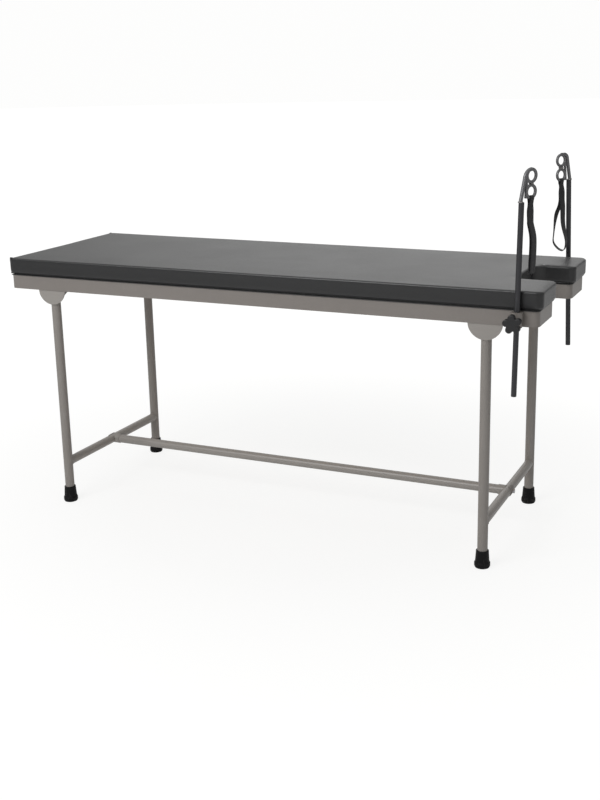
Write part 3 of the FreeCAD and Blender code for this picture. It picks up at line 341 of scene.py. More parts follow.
def make_frame_paint(name, colour):
    material, tree, shader = new_material(name, Coat_Weight=0.15, Coat_Roughness=0.3)
    tone = use_group(tree, DRIFT, Color=colour, Drift=0.12, Drift_Scale=7.0, Speck=0.06,
                     Speck_Scale=500.0)
    marks = use_group(tree, SCUFFS, Amount=0.5, Scale=26.0, Fade_Height=0.8)
    colour = mix_colours(tree, marks["Mask"], tone["Color"], (0.3, 0.29, 0.275, 1))
    tree.links.new(colour, shader.inputs["Base Color"])
    tree.links.new(spread(tree, tone["Mask"], 0.34, 0.46), shader.inputs["Roughness"])
    skin = add_node(tree, "TexNoise", Vector=object_point(tree), Scale=260.0, Detail=2.0)
    bump(tree, shader, skin.outputs["Fac"], 0.08, 0.0006)
    return material


def make_steel(name, colour, rough, brushed=(1.0, 1.0, 1.0), metallic=1.0, drift=0.2):
    """Bare or plated steel with fine drawn lines along a piece and a little tarnish."""
    material, tree, shader = new_material(name, Metallic=metallic)
    tone = use_group(tree, DRIFT, Color=colour, Drift=drift, Drift_Scale=35.0, Speck=0.15, Speck_Scale=900.0)
    tree.links.new(tone["Color"], shader.inputs["Base Color"])
    tree.links.new(spread(tree, tone["Mask"], rough - 0.07, rough + 0.07), shader.inputs["Roughness"])
    lines = add_node(tree, "TexNoise", Vector=object_point(tree, brushed), Scale=900.0, Detail=2.0)
    bump(tree, shader, lines.outputs["Fac"], 0.12, 0.0003)
    return material


def make_rubber():
    material, tree, shader = new_material("black_rubber", Specular_IOR_Level=0.2)
    tone = use_group(tree, DRIFT, Color=(0.003, 0.003, 0.0032, 1), Drift=0.5, Drift_Scale=40.0, Speck=0.3,
                     Speck_Scale=900.0)
    marks = use_group(tree, SCUFFS, Amount=0.5, Scale=60.0, Fade_Height=0.07)
    colour = mix_colours(tree, marks["Mask"], tone["Color"], (0.1, 0.095, 0.09, 1))
    tree.links.new(colour, shader.inputs["Base Color"])
    tree.links.new(spread(tree, tone["Mask"], 0.45, 0.6), shader.inputs["Roughness"])
    skin = add_node(tree, "TexNoise", Vector=object_point(tree), Scale=700.0, Detail=3.0)
    bump(tree, shader, skin.outputs["Fac"], 0.2, 0.0004)
    return material


def make_knob_plastic():
    material, tree, shader = new_material("black_moulded_plastic", Specular_IOR_Level=0.5)
    tone = use_group(tree, DRIFT, Color=(0.009, 0.009, 0.01, 1), Drift=0.3, Drift_Scale=60.0, Speck=0.2,
                     Speck_Scale=1200.0)
    tree.links.new(tone["Color"], shader.inputs["Base Color"])
    tree.links.new(spread(tree, tone["Mask"], 0.34, 0.46), shader.inputs["Roughness"])
    skin = add_node(tree, "TexNoise", Vector=object_point(tree), Scale=1500.0, Detail=2.0)
    bump(tree, shader, skin.outputs["Fac"], 0.15, 0.0002)
    return material


def make_webbing():
    material, tree, shader = new_material("black_webbing", Sheen_Weight=0.2, Sheen_Roughness=0.5,
                                          Specular_IOR_Level=0.3)
    weave = use_group(tree, WEAVE, Rib_Pitch=0.0024, Pick_Pitch=0.0013)
    # The weave's painted shade darkens the webbing's colour in its valleys.
    shade = weave["Painted Shade"]
    painted_weave_shade = add_node(tree, "CombineXYZ", X=shade, Y=shade, Z=shade)
    colour = mix_colours(tree, 1.0, (0.014, 0.014, 0.016, 1), painted_weave_shade.outputs[0], "MULTIPLY")
    tone = use_group(tree, DRIFT, Color=colour, Drift=0.4, Drift_Scale=30.0, Speck=0.3, Speck_Scale=1500.0)
    tree.links.new(tone["Color"], shader.inputs["Base Color"])
    tree.links.new(spread(tree, tone["Mask"], 0.6, 0.75), shader.inputs["Roughness"])
    bump(tree, shader, weave["Height"], 0.5, 0.0003)
    return material


def make_plywood():
    material, tree, shader = new_material("plain_plywood")
    grain = add_node(tree, "TexNoise", Vector=object_point(tree, (0.6, 9.0, 2.0)), Scale=22.0, Detail=8.0,
                     Roughness=0.65, Distortion=0.6)
    colour = mix_colours(tree, grain.outputs["Fac"], (0.34, 0.21, 0.11, 1), (0.58, 0.41, 0.24, 1))
    tone = use_group(tree, DRIFT, Color=colour, Drift=0.2, Drift_Scale=4.0, Speck=0.1, Speck_Scale=300.0)
    tree.links.new(tone["Color"], shader.inputs["Base Color"])
    tree.links.new(spread(tree, grain.outputs["Fac"], 0.55, 0.75), shader.inputs["Roughness"])
    bump(tree, shader, grain.outputs["Fac"], 0.2, 0.0005)
    return material


leatherette = make_leatherette()
frame_paint = make_frame_paint("grey_brown_paint", (0.207, 0.188, 0.173, 1))
# Painted light: the legs and the bars get lighter copies of the frame's one grey-brown paint, standing in for
# light that falls on them.
leg_paint_painted_lighter = make_frame_paint("grey_brown_paint_painted_lighter_for_legs", (0.243, 0.224, 0.207, 1))
bar_paint_painted_lighter = make_frame_paint("grey_brown_paint_painted_lighter_for_bars", (0.295, 0.276, 0.257, 1))
rubber = make_rubber()
knob_plastic = make_knob_plastic()
webbing = make_webbing()
plywood = make_plywood()
plated_steel = make_steel("dull_zinc_plate", (0.5, 0.5, 0.52, 1), 0.38)
pole_steel = make_steel("dark_drawn_rod", (0.05, 0.05, 0.054, 1), 0.4, (1.0, 1.0, 0.04), 0.6, 0.3)
ring_steel = make_steel("grey_bent_wire", (0.17, 0.17, 0.175, 1), 0.42, (1.0, 1.0, 0.3), 0.75, 0.5)
weld_metal = make_steel("weld_bead_metal", (0.26, 0.25, 0.245, 1), 0.36, (1.0, 1.0, 1.0), 0.85, 0.6)

# Legs, crossbars, stretchers and leg brackets take the lighter copies of the paint, which are painted light.
NODE_FINISH = (
    ("board_screws", plated_steel), ("stretcher_plugs", plated_steel), ("saddle_washers", frame_paint),
    ("stretcher_bolts", plated_steel), ("weld_nuts", frame_paint), ("clamp_screw", plated_steel),
    ("pole_rod", pole_steel), ("ring_head", ring_steel), ("pole_socket", frame_paint), ("ferrule", rubber),
    ("star_knob", knob_plastic), ("pad_board", plywood), ("rail", frame_paint), ("crossbar", bar_paint_painted_lighter),
    ("cross", frame_paint), ("leg_bracket", bar_paint_painted_lighter), ("leg_tube", leg_paint_painted_lighter), ("stretcher", bar_paint_painted_lighter),
)


def dress_nodes():
    """Give every node of the frame its finish."""
    for name, node in frame["nodes"].items():
        for start, material in NODE_FINISH:
            if name.startswith(start):
                node.data.materials.clear()
                node.data.materials.append(material)
                break


# The cushion.

CORNER_SEGMENTS = 8
EDGE_SEGMENTS = 6
GRID_ALONG = 0.015
GRID_ACROSS = 0.0155
GRID_UP = 0.007
OVER_BOARD = 0.0005
SWELL_PRESSURE = 8.0
SWELL_FRAMES = 20

# How far the cover stands off the plain pad, and how wide the strips are where it does.
CROWN_RISE = 0.0012
CROWN_STRIP = 0.10
PUFF_RISE = 0.0018
TOP_DROP = 0.0001
BRIM_DROP = 0.0022
BRIM_STRIP = 0.018
ROLL_DROP = 0.0028
ROLL_STRIP = 0.022
SLACK_RISE = 0.0005
RIPPLE_RISE = 0.0002
SIDE_DRAW = 0.0010
SIDE_RIPPLE = 0.0003
CORNER_STRIP = 0.12
UNDER_DRAW = 0.0022
UNDER_SHARE = 0.36


def notch_outline(inset, foot_inset):
    """Corners of the pad's outline, drawn in by an inset, and by another at the foot end."""
    head = inset - PAD_HALF_LENGTH
    foot = PAD_HALF_LENGTH - foot_inset
    width = PAD_HALF_WIDTH - inset
    notch = NOTCH_HALF + inset
    end = NOTCH_END - inset
    return [(head, -width), (foot, -width), (foot, -notch), (end, -notch),
            (end, notch), (foot, notch), (foot, width), (head, width)]


def upright(edge):
    start, end = edge.verts
    return abs(start.co.x - end.co.x) < 1e-6 and abs(start.co.y - end.co.y) < 1e-6


def rounded(mesh, edges, radius, segments):
    bmesh.ops.bevel(mesh, geom=edges, offset=radius, segments=segments, profile=0.5, affect="EDGES",
                    material=-1)


def cut_across(mesh, axis, low, high, step):
    """Cut a mesh by evenly spaced planes square to an axis, to give it points to shape."""
    count = round((high - low) / step)
    for number in range(1, count):
        place = Vector((0.0, 0.0, 0.0))
        normal = Vector((0.0, 0.0, 0.0))
        place[axis] = low + (high - low) * number / count
        normal[axis] = 1.0
        everything = list(mesh.verts) + list(mesh.edges) + list(mesh.faces)
        bmesh.ops.bisect_plane(mesh, geom=everything, dist=1e-6, plane_co=place, plane_no=normal)


def move_outline(face, old_inset, new_inset, height):
    """Bring the corners of a face from one inset of the pad's outline to another, at a new height."""
    old = notch_outline(*old_inset)
    new = notch_outline(*new_inset)
    for vertex in face.verts:
        nearest = min(range(len(old)), key=lambda number: math.dist(old[number], vertex.co.xy))
        vertex.co = (*new[nearest], height)


def level_edges(mesh, level):
    return [edge for edge in mesh.edges if all(abs(vertex.co.z - level) < 1e-5 for vertex in edge.verts)]


def make_cushion():
    """Cover and foam as one crowned form, with soft edges and a hem that steps back under its sides."""
    mesh = bmesh.new()
    last = HEM_STEPS[0][:2]
    face = mesh.faces.new([mesh.verts.new((x, y, PAD_BOTTOM)) for x, y in notch_outline(*last)])
    for number, (*insets, height) in enumerate(HEM_STEPS[1:] + ((0.0, 0.0, PAD_TOP - PAD_BOTTOM),)):
        lifted = bmesh.ops.extrude_face_region(mesh, geom=[face])
        if number:
            bmesh.ops.delete(mesh, geom=[face], context="FACES")
        face = next(item for item in lifted["geom"] if isinstance(item, bmesh.types.BMFace))
        move_outline(face, last, insets, PAD_BOTTOM + height)
        last = insets
    bmesh.ops.recalc_face_normals(mesh, faces=mesh.faces)
    for inset, foot_inset in sorted({step[:2] for step in HEM_STEPS}):
        for place, radius in ((NOTCH_END - inset, NOTCH_CORNER + inset),
                              (PAD_HALF_LENGTH - foot_inset, LOBE_CORNER - foot_inset),
                              (inset - PAD_HALF_LENGTH, HEAD_CORNER - inset)):
            corners = [edge for edge in mesh.edges
                       if upright(edge) and abs(edge.verts[0].co.x - place) < 1e-4]
            rounded(mesh, corners, radius, CORNER_SEGMENTS)
    lip = [edge for edge in level_edges(mesh, PAD_BOTTOM + PAD_LIP)
           if any(vertex.co.z > PAD_TOP - 0.001 for side in edge.link_faces for vertex in side.verts)]
    rounded(mesh, lip, PAD_LIP_EDGE, EDGE_SEGMENTS)
    rounded(mesh, level_edges(mesh, PAD_TOP), PAD_EDGE, EDGE_SEGMENTS)
    mesh.faces.ensure_lookup_table()
    bottom = max((f for f in mesh.faces if f.normal.z < -0.9), key=lambda f: f.calc_area())
    bmesh.ops.inset_region(mesh, faces=[bottom], thickness=HEM_WIDTH - HEM_STEPS[0][0], use_even_offset=True)
    sunk = bmesh.ops.extrude_face_region(mesh, geom=[bottom])
    for vertex in sunk["geom"]:
        if isinstance(vertex, bmesh.types.BMVert):
            vertex.co.z = BOARD_TOP + OVER_BOARD
    bmesh.ops.delete(mesh, geom=[bottom], context="FACES")
    cut_across(mesh, 0, -PAD_HALF_LENGTH, PAD_HALF_LENGTH, GRID_ALONG)
    cut_across(mesh, 1, -PAD_HALF_WIDTH, PAD_HALF_WIDTH, GRID_ACROSS)
    cut_across(mesh, 2, PAD_BOTTOM, PAD_TOP, GRID_UP)
    bmesh.ops.triangulate(mesh, faces=[f for f in mesh.faces if len(f.verts) > 4])
    shape_cushion(mesh)
    cushion = finish_mesh(mesh, "top_cushion", "frame", leatherette)
    swell(cushion)
    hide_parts("pad_cover", "pad_foam")


def is_cover(point):
    """True for the top and sides of the cushion, and not for its hem or the hollow over the board."""
    inside = (abs(point.x) < PAD_HALF_LENGTH - HEM_WIDTH / 2 and abs(point.y) < PAD_HALF_WIDTH - HEM_WIDTH / 2
              and not over_notch_rim(point))
    return point.z > PAD_BOTTOM + PAD_LIP + 0.0003 and not (inside and point.z < BOARD_TOP + 0.001)


def over_notch_rim(point):
    """True near the walls of the notch."""
    return point.x > NOTCH_END - HEM_WIDTH / 2 and abs(point.y) < NOTCH_HALF + HEM_WIDTH / 2


def from_edge(x, y):
    """Distance of a point of the pad's plan from its outline at the lobes, the notch and the foot end."""
    if x < NOTCH_END - 0.1:
        return 1.0
    to_foot = PAD_HALF_LENGTH - x
    to_notch_side = abs(y) - NOTCH_HALF if x > NOTCH_END else 1.0
    to_notch_end = NOTCH_END - x if abs(y) < NOTCH_HALF else 1.0
    return max(min(to_foot, to_notch_side, to_notch_end), 0.0)


def shape_cushion(mesh):
    """Crown on the top, soft brim at the notch, slack of the cover, and sides that draw in under the pad."""
    mesh.normal_update()
    normals = [vertex.normal.copy() for vertex in mesh.verts]
    for vertex, normal in zip(mesh.verts, normals):
        x, y, z = vertex.co
        if normal.z < -0.98 or not is_cover(vertex.co):
            continue
        to_end = min(PAD_HALF_LENGTH - abs(x), CROWN_STRIP) / CROWN_STRIP
        to_side = min(PAD_HALF_WIDTH - abs(y), CROWN_STRIP) / CROWN_STRIP
        slack = noise.noise(Vector((x * 3.1, y * 4.3, 0.4)))
        ripple = noise.noise(Vector((x * 12.0, y * 14.0, 2.7)))
        top = max(normal.z, 0.0)
        brim = max(1.0 - from_edge(x, y) / BRIM_STRIP, 0.0)
        roll = max(1.0 - (PAD_HALF_LENGTH - x) / ROLL_STRIP, 0.0)
        puffed = max(y / PAD_HALF_WIDTH, 0.0) * max(-x / PAD_HALF_LENGTH, 0.0)
        crown = (CROWN_RISE * min(to_end, to_side) + PUFF_RISE * puffed - TOP_DROP
                 - max(BRIM_DROP * brim * brim, ROLL_DROP * roll * roll))
        vertex.co.z = z + top * (crown + SLACK_RISE * slack + RIPPLE_RISE * ripple)
        side = Vector((normal.x, normal.y, 0.0))
        if side.length > 0.05:
            side.normalize()
            rise = (z - PAD_BOTTOM) / (PAD_TOP - PAD_BOTTOM)
            corner = min(1.0, max(PAD_HALF_LENGTH - abs(x), PAD_HALF_WIDTH - abs(y)) / CORNER_STRIP)
            under = max(1.0 - rise / UNDER_SHARE, 0.0)
            drawn_in = SIDE_DRAW * math.sin(math.pi * rise) * corner + UNDER_DRAW * under * under
            vertex.co -= side * (drawn_in + SIDE_RIPPLE * ripple * math.sin(math.pi * rise))


def swell(cushion):
    """Cloth simulation: the cover starts a little small and is blown up against its held underside."""
    points = cushion.data.vertices
    wanted = [point.co.copy() for point in points]
    limits = []
    held = cushion.vertex_groups.new(name="held")
    for point in points:
        if is_cover(point.co):
            limits.append(PAD_SWELL)
            point.co -= point.normal * PAD_SWELL
        else:
            limits.append(0.0)
            held.add([point.index], 1.0, "REPLACE")
    start = [point.co.copy() for point in points]
    cloth = cushion.modifiers.new("Cloth", "CLOTH")
    cloth.settings.use_pressure = True
    cloth.settings.uniform_pressure_force = SWELL_PRESSURE
    cloth.settings.effector_weights.gravity = 0.0
    cloth.settings.vertex_group_mass = "held"
    cloth.settings.quality = 4
    cloth.point_cache.frame_start = 1
    cloth.point_cache.frame_end = SWELL_FRAMES
    for step in range(1, SWELL_FRAMES + 1):
        bpy.context.scene.frame_set(step)
    apply_modifiers(cushion)
    for point, first, goal, limit in zip(cushion.data.vertices, start, wanted, limits):
        moved = point.co - first
        if moved.length > limit:
            moved *= limit / moved.length if limit else 0.0
        point.co = first + moved if limit else goal
    cushion.vertex_groups.clear()
    bpy.context.scene.frame_set(1)


# Webbing slings. Each point of the band's middle line is (across, height, turn in degrees) from the hook.

SLING_NECK = {
    "near": ((0.0002, -0.020, 0), (0.0004, -0.040, 4), (-0.0008, -0.062, 8)),
    "far": ((0.0035, -0.020, 0), (0.0050, -0.045, 0), (0.0055, -0.062, 4)),
}
SLING_LOOP = {
    "near": ((0.0010, -0.071, 9), (-0.0043, -0.091, 12), (-0.0082, -0.111, 12), (-0.0085, -0.151, 10),
             (-0.0068, -0.190, 10), (-0.0086, -0.2075, 10), (-0.0101, -0.2115, 10), (-0.0118, -0.2075, 10),
             (-0.0134, -0.190, 10), (-0.0151, -0.151, 10), (-0.0147, -0.111, 12), (-0.0101, -0.091, 12),
             (-0.0028, -0.071, 9)),
    "far": ((0.0105, -0.080, 8), (0.0110, -0.107, 9), (0.0120, -0.135, 12), (0.0170, -0.160, 18),
            (0.0235, -0.188, 28), (0.0235, -0.208, 32), (0.0175, -0.2290, 34), (0.0000, -0.2240, 34),
            (-0.0150, -0.2080, 36), (-0.0195, -0.1950, 38), (-0.0175, -0.175, 38), (-0.0160, -0.148, 33),
            (-0.0145, -0.122, 20), (-0.0115, -0.103, 12), (-0.0010, -0.083, 8)),
}


# The turn of the band rides in the route's unused coordinate, at this many radians a metre.
TURN_SHARE = 20.0

# The band is narrow in the ring and spreads to its full width below it.
SPREAD_START = 0.004
SPREAD_LENGTH = 0.036


def sling_path(side):
    """The band's middle line: up one ply of the neck, over the ring's wire, down the other, round the loop."""
    eye = 0.0068
    ply = STRAP_WALL / 2 + 0.0001
    neck = SLING_NECK[side]
    over = [(across + ply, height, turn) for across, height, turn in reversed(neck)] + [(0.004, -0.0105, 0)]
    angles = (-0.5, 0.0, 0.6, 1.2, math.pi - 1.2, math.pi - 0.6, math.pi, math.pi + 0.5)
    top = [(eye * math.cos(angle), eye * math.sin(angle), 0) for angle in angles]
    back = [(-0.004, -0.0105, 0)] + [(across - ply, height, turn) for across, height, turn in neck]
    return over + top + back + list(reversed(SLING_LOOP[side]))


def make_sling(side):
    """One band of webbing: over the ring's wire, doubled and sewn in the neck, open in the loop."""
    joint = JOINTS["sling_swing_" + side]
    hook = Vector(joint["pos_m"])
    along = Vector(joint["axis"]).normalized()
    across = Vector((-along.y, along.x, 0.0))
    line = bpy.data.curves.new("sling_line", "CURVE")
    line.dimensions = "3D"
    spline = line.splines.new("NURBS")
    points = sling_path(side)
    spline.points.add(len(points) - 1)
    for point, (aside, height, turn) in zip(spline.points, points):
        point.co = (aside, math.radians(turn) / TURN_SHARE, height, 1.0)
    spline.order_u = 3
    spline.use_cyclic_u = True
    spline.resolution_u = 6
    holder = bpy.data.objects.new("sling_line", line)
    route = [vertex.co.copy() for vertex in bpy.data.meshes.new_from_object(holder).vertices]
    bpy.data.objects.remove(holder)

    mesh = bmesh.new()
    uv = mesh.loops.layers.uv.new("UVMap")
    steps = len(route)
    profile = [(point.x, point.z) for point in route]
    length = sum(math.dist(profile[number], profile[number - 1]) for number in range(steps))
    bmesh.ops.create_grid(mesh, x_segments=4, y_segments=steps, size=0.5, calc_uvs=True)
    for vertex in mesh.verts:
        point = route[round((vertex.co.y + 0.5) * steps) % steps]
        widened = min(max((-point.z - SPREAD_START) / SPREAD_LENGTH, 0.0), 1.0)
        width = EYE_WIDTH + (STRAP_WIDTH - EYE_WIDTH) * widened * widened * (3 - 2 * widened)
        turned = Matrix.Rotation(point.y * TURN_SHARE, 3, "Z")
        aside = turned @ (across * point.x + along * (width * vertex.co.x))
        vertex.co = hook + aside + Vector((0, 0, point.z))
    for face in mesh.faces:
        for corner in face.loops:
            corner[uv].uv = (STRAP_WIDTH * corner[uv].uv.x, length * corner[uv].uv.y)
    bmesh.ops.remove_doubles(mesh, verts=mesh.verts, dist=1e-6)
    sling = finish_mesh(mesh, "webbing_sling_" + side, "sling_" + side, webbing)
    add_modifier(sling, "SOLIDIFY", thickness=STRAP_WALL - 0.0002, offset=0.0, use_even_offset=True)
    add_modifier(sling, "BEVEL", width=0.0005, segments=2, limit_method="ANGLE",
                 angle_limit=math.radians(50))
    apply_modifiers(sling)
    for polygon in sling.data.polygons:
        polygon.use_smooth = True
    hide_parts("strap_" + side)


# Weld beads, with the radius of each.

CROSSBAR_BEAD = 0.0016
BRACKET_BEAD = 0.0017
ROD_TOP_BEAD = 0.0021
RING_BEAD = 0.0014
ON_TUBE = 0.0004
ON_BAR = 0.0006
ARCH_POINTS = 9
ARCH_HALF_ANGLE = 62
ROD_TOP_POINTS = 14


def make_bead(name, points, thickness, body, material, closed=False, seed=1):
    """Weld bead that follows points and swells and thins along its length."""
    rng = random.Random(seed)
    line = bpy.data.curves.new(name, "CURVE")
    line.dimensions = "3D"
    line.bevel_depth = thickness
    line.bevel_resolution = 3
    line.use_fill_caps = True
    spline = line.splines.new("NURBS")
    spline.points.add(len(points) - 1)
    for point, place in zip(spline.points, points):
        point.co = (*place, 1.0)
        point.radius = 0.8 + 0.45 * rng.random()
    spline.order_u = 3
    spline.use_cyclic_u = closed
    spline.use_endpoint_u = not closed
    spline.resolution_u = 3
    holder = bpy.data.objects.new(name + "_line", line)
    data = bpy.data.meshes.new_from_object(holder)
    bpy.data.objects.remove(holder)
    data.name = name
    data.materials.clear()
    data.materials.append(material)
    bead = bpy.data.objects.new(name, data)
    bpy.context.scene.collection.objects.link(bead)
    for polygon in data.polygons:
        polygon.use_smooth = True
    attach(bead, body)


def coped_bead_points(bar_radius, leg_radius, centre, towards, bar_axis, leg_axis, count=22):
    """Points round a bar where it meets a round leg; towards points from the joint into the bar."""
    side_axis = leg_axis.cross(bar_axis).normalized()
    points = []
    for number in range(count):
        angle = 2 * math.pi * number / count
        aside = (bar_radius + ON_BAR) * math.cos(angle)
        up = (bar_radius + ON_BAR) * math.sin(angle)
        reach = math.sqrt(max(leg_radius ** 2 - aside ** 2, 0.0)) + ON_TUBE
        points.append(centre + towards * reach + side_axis * aside + leg_axis * up)
    return points


def bracket_arch(end_sign, side_sign):
    """Points where a bracket's half-moon cheek ends on the outside of its leg."""
    arch = []
    for number in range(ARCH_POINTS):
        angle = math.radians(-ARCH_HALF_ANGLE + 2 * ARCH_HALF_ANGLE * number / (ARCH_POINTS - 1))
        aside = LEG_RADIUS * math.sin(angle)
        drop = BRACKET_RADIUS - math.sqrt(BRACKET_RADIUS ** 2 - aside ** 2)
        arch.append(Vector((end_sign * LEG_X + (LEG_RADIUS + ON_TUBE) * math.sin(angle),
                            side_sign * (LEG_Y + (LEG_RADIUS + ON_TUBE) * math.cos(angle)),
                            BRACKET_LOW + drop - ON_TUBE / 2)))
    return arch


def make_frame_welds():
    """Beads where the legs meet the crossbars and the brackets."""
    up = Vector((0, 0, 1))
    for end_sign, end in ((-1, "head"), (1, "foot")):
        for sign, side in ((-1, "near"), (1, "far")):
            name = "%s_%s" % (end, side)
            seed = 10 * (end_sign + 2) + sign
            leg = Vector((end_sign * LEG_X, sign * LEG_Y, BAR_HEIGHT))
            inward = Vector((0, -sign, 0))
            cope = coped_bead_points(BAR_RADIUS, LEG_RADIUS, leg, inward, Vector((0, 1, 0)), up)
            # The leg welds take the legs' lighter copy of the paint, which is painted light.
            make_bead("crossbar_weld_" + name, cope, CROSSBAR_BEAD, "frame", leg_paint_painted_lighter, True, seed)
            arch = bracket_arch(end_sign, sign)
            make_bead("bracket_weld_" + name, arch, BRACKET_BEAD, "frame", leg_paint_painted_lighter, False, seed + 3)


def make_pole_welds():
    """Blob where the bent bar sits on the rod, and beads where rings and wires touch."""
    for side in ("near", "far"):
        turn = JOINTS["head_turn_" + side]
        foot = Vector(turn["pos_m"])
        up = Vector(turn["axis"]).normalized()
        reach = Vector(JOINTS["sling_swing_" + side]["axis"]).normalized()
        reach = (reach - up * reach.dot(up)).normalized()
        across = up.cross(reach)
        centre = foot - reach * BAR_FOOT + up * ON_BAR
        ring = []
        for number in range(ROD_TOP_POINTS):
            angle = 2 * math.pi * number / ROD_TOP_POINTS
            ring.append(centre + (reach * math.cos(angle) + across * math.sin(angle)) * 0.0060)
        make_bead("rod_top_weld_" + side, ring, ROD_TOP_BEAD, "head_" + side, weld_metal, True, 31)
        half_pitch = RING_PITCH[side] / 2
        middle = foot + reach * RING_REACH + up * (RING_RISE[side] + half_pitch)
        touches = ((-RING_RADIUS, -half_pitch, RING_BEAD), (-RING_RADIUS, half_pitch, RING_BEAD),
                   (0.0, 0.0, half_pitch - RING_RADIUS - RING_WIRE + 0.0022))
        for number, (inward, height, thickness) in enumerate(touches):
            spot = middle + reach * inward + up * height
            half = 0.008 if inward else 0.004
            for face_sign in (-1, 1):
                lift = across * (0.0036 * face_sign)
                stretch = up if inward else reach
                points = [spot + lift + stretch * (half * step / 2) for step in (-2, -1, 0, 1, 2)]
                name = "ring_weld_%s_%d_%d" % (side, number, face_sign + 1)
                make_bead(name, points, thickness, "head_" + side, weld_metal, False, number + 40)


# Floor, light and camera.

KEY_POWER = 105.0
FILL_POWER = 5.0
ROOM_FRONT = 0.3
ROOM_BACK = 0.55
MIRROR_SIDE = 0.25
MIRROR_BACK = 1.0
MIRROR_CEILING = 0.9
BACKGROUND = (0.985, 0.985, 0.98, 1)
FLOOR_RADIUS = 40.0

# The photograph's frame, and the lens and place solved from it, in pixels and metres.
FRAME_WIDTH = 600
FRAME_HEIGHT = 800
FOCAL_LENGTH = 1153.0
LENS_CENTRE = (326.6, 362.0)
CAMERA_PLACE = (1.6481, -3.4438, 1.5030)
CAMERA_HEADING = math.radians(23.90)
CAMERA_TILT = math.radians(14.66)
CAMERA_ROLL = math.radians(-0.95)
SENSOR = 36.0


def make_floor():
    """Pale floor that shows the table's shadow near it and fades into the background further out."""
    mesh = bmesh.new()
    bmesh.ops.create_circle(mesh, cap_ends=True, radius=FLOOR_RADIUS, segments=64)
    data = bpy.data.meshes.new("floor")
    mesh.to_mesh(data)
    mesh.free()
    floor = bpy.data.objects.new("floor", data)
    bpy.context.scene.collection.objects.link(floor)
    material = bpy.data.materials.new("pale_floor")
    material.use_nodes = True
    tree = material.node_tree
    tree.nodes.clear()
    out = tree.nodes.new("ShaderNodeOutputMaterial")
    lit = add_node(tree, "BsdfDiffuse", Color=(0.88, 0.88, 0.88, 1))
    glow = add_node(tree, "Emission", Color=BACKGROUND, Strength=1.06)
    from_middle = add_node(tree, "VectorMath", {"operation": "LENGTH"})
    tree.links.new(object_point(tree), from_middle.inputs[0])
    far = between(tree, from_middle.outputs["Value"], (0.6, 2.2), (0.78, 1.0))
    path = tree.nodes.new("ShaderNodeLightPath")
    seen = calculate(tree, "MULTIPLY_ADD", path.outputs["Is Glossy Ray"], 0.2, path.outputs["Is Camera Ray"])
    share = calculate(tree, "MULTIPLY", seen, far)
    mix = tree.nodes.new("ShaderNodeMixShader")
    tree.links.new(share, mix.inputs[0])
    tree.links.new(lit.outputs[0], mix.inputs[1])
    tree.links.new(glow.outputs[0], mix.inputs[2])
    tree.links.new(mix.outputs[0], out.inputs["Surface"])
    data.materials.append(material)


def make_world():
    """White backdrop behind the table, and a dimmer room on the camera's side of it."""
    world = bpy.data.worlds.new("pale_room")
    bpy.context.scene.world = world
    world.use_nodes = True
    tree = world.node_tree
    tree.nodes.clear()
    out = tree.nodes.new("ShaderNodeOutputWorld")
    path = tree.nodes.new("ShaderNodeLightPath")
    ways = tree.nodes.new("ShaderNodeTexCoord").outputs["Generated"]
    behind = add_node(tree, "VectorMath", {"operation": "DOT_PRODUCT"})
    tree.links.new(ways, behind.inputs[0])
    behind.inputs[1].default_value = (-0.25, 0.95, 0.45)
    upward = add_node(tree, "SeparateXYZ", Vector=ways).outputs["Z"]
    room = between(tree, behind.outputs["Value"], (-0.3, 0.9), (ROOM_FRONT, ROOM_BACK))
    backdrop = between(tree, behind.outputs["Value"], (0.95, 1.05), (MIRROR_SIDE, MIRROR_BACK))
    ceiling = between(tree, upward, (0.35, 0.75), (0.0, MIRROR_CEILING))
    mirrored = calculate(tree, "MAXIMUM", backdrop, ceiling)
    glossy = add_node(tree, "Mix", {"data_type": "FLOAT"})
    for place, source in zip((MIX_FACTOR, *MIX_NUMBERS), (path.outputs["Is Glossy Ray"], room, mirrored)):
        feed(tree, glossy.inputs[place], source)
    strength = calculate(tree, "MAXIMUM", path.outputs["Is Camera Ray"], glossy.outputs[0])
    back = add_node(tree, "Background", Color=BACKGROUND, Strength=strength)
    tree.links.new(back.outputs[0], out.inputs["Surface"])


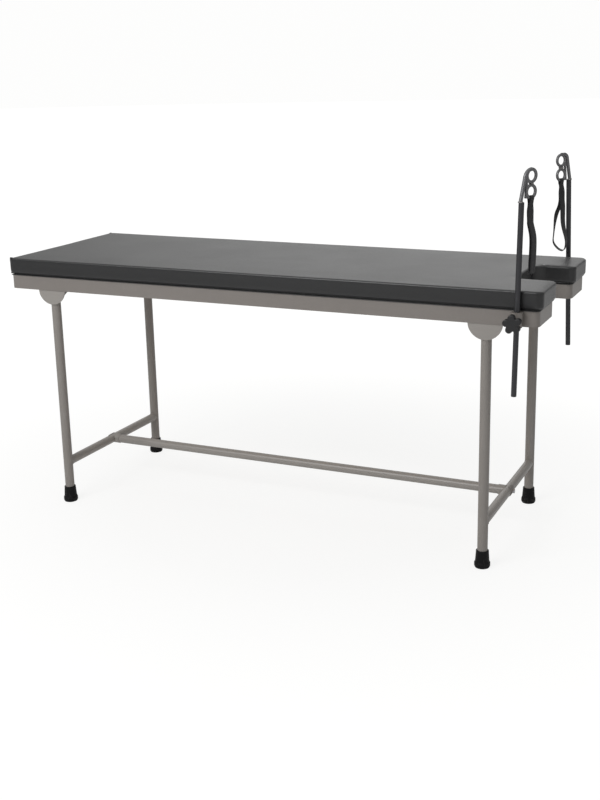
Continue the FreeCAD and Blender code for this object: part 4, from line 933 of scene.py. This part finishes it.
def add_lamp(name, place, aim, size, power):
    """Soft rectangular lamp."""
    lamp = bpy.data.lights.new(name, "AREA")
    lamp.shape = "RECTANGLE"
    lamp.size, lamp.size_y = size
    lamp.energy = power
    holder = bpy.data.objects.new(name, lamp)
    bpy.context.scene.collection.objects.link(holder)
    holder.location = place
    holder.rotation_euler = (Vector(aim) - Vector(place)).to_track_quat("-Z", "Y").to_euler()


def make_lights():
    make_world()
    add_lamp("key_softbox", (-1.1, -3.5, 3.2), (0.0, 0.0, 0.6), (2.6, 1.8), KEY_POWER)
    add_lamp("fill_softbox", (3.2, -1.4, 1.9), (0.3, 0.0, 0.6), (1.6, 1.8), FILL_POWER)


def make_camera():
    """Camera solved from the photograph: place, heading, downward tilt and roll."""
    ahead = Vector((-math.sin(CAMERA_HEADING) * math.cos(CAMERA_TILT),
                    math.cos(CAMERA_HEADING) * math.cos(CAMERA_TILT), -math.sin(CAMERA_TILT)))
    right = Vector((math.cos(CAMERA_HEADING), math.sin(CAMERA_HEADING), 0.0))
    above = right.cross(ahead)
    rolled_right = right * math.cos(CAMERA_ROLL) + above * math.sin(CAMERA_ROLL)
    rolled_above = above * math.cos(CAMERA_ROLL) - right * math.sin(CAMERA_ROLL)
    lens = bpy.data.cameras.new("photo_camera")
    lens.sensor_width = SENSOR
    lens.lens = FOCAL_LENGTH / FRAME_HEIGHT * SENSOR
    lens.shift_x = (FRAME_WIDTH / 2 - LENS_CENTRE[0]) / FRAME_HEIGHT
    lens.shift_y = (LENS_CENTRE[1] - FRAME_HEIGHT / 2) / FRAME_HEIGHT
    camera = bpy.data.objects.new("photo_camera", lens)
    bpy.context.scene.collection.objects.link(camera)
    turned = Matrix((rolled_right, rolled_above, -ahead)).transposed().to_4x4()
    camera.matrix_world = Matrix.Translation(CAMERA_PLACE) @ turned
    bpy.context.scene.camera = camera


make_camera()
make_lights()
make_floor()
bpy.context.scene.view_settings.view_transform = "Standard"
dress_nodes()
make_cushion()
for pole_side in ("near", "far"):
    make_sling(pole_side)
make_frame_welds()
make_pole_welds()
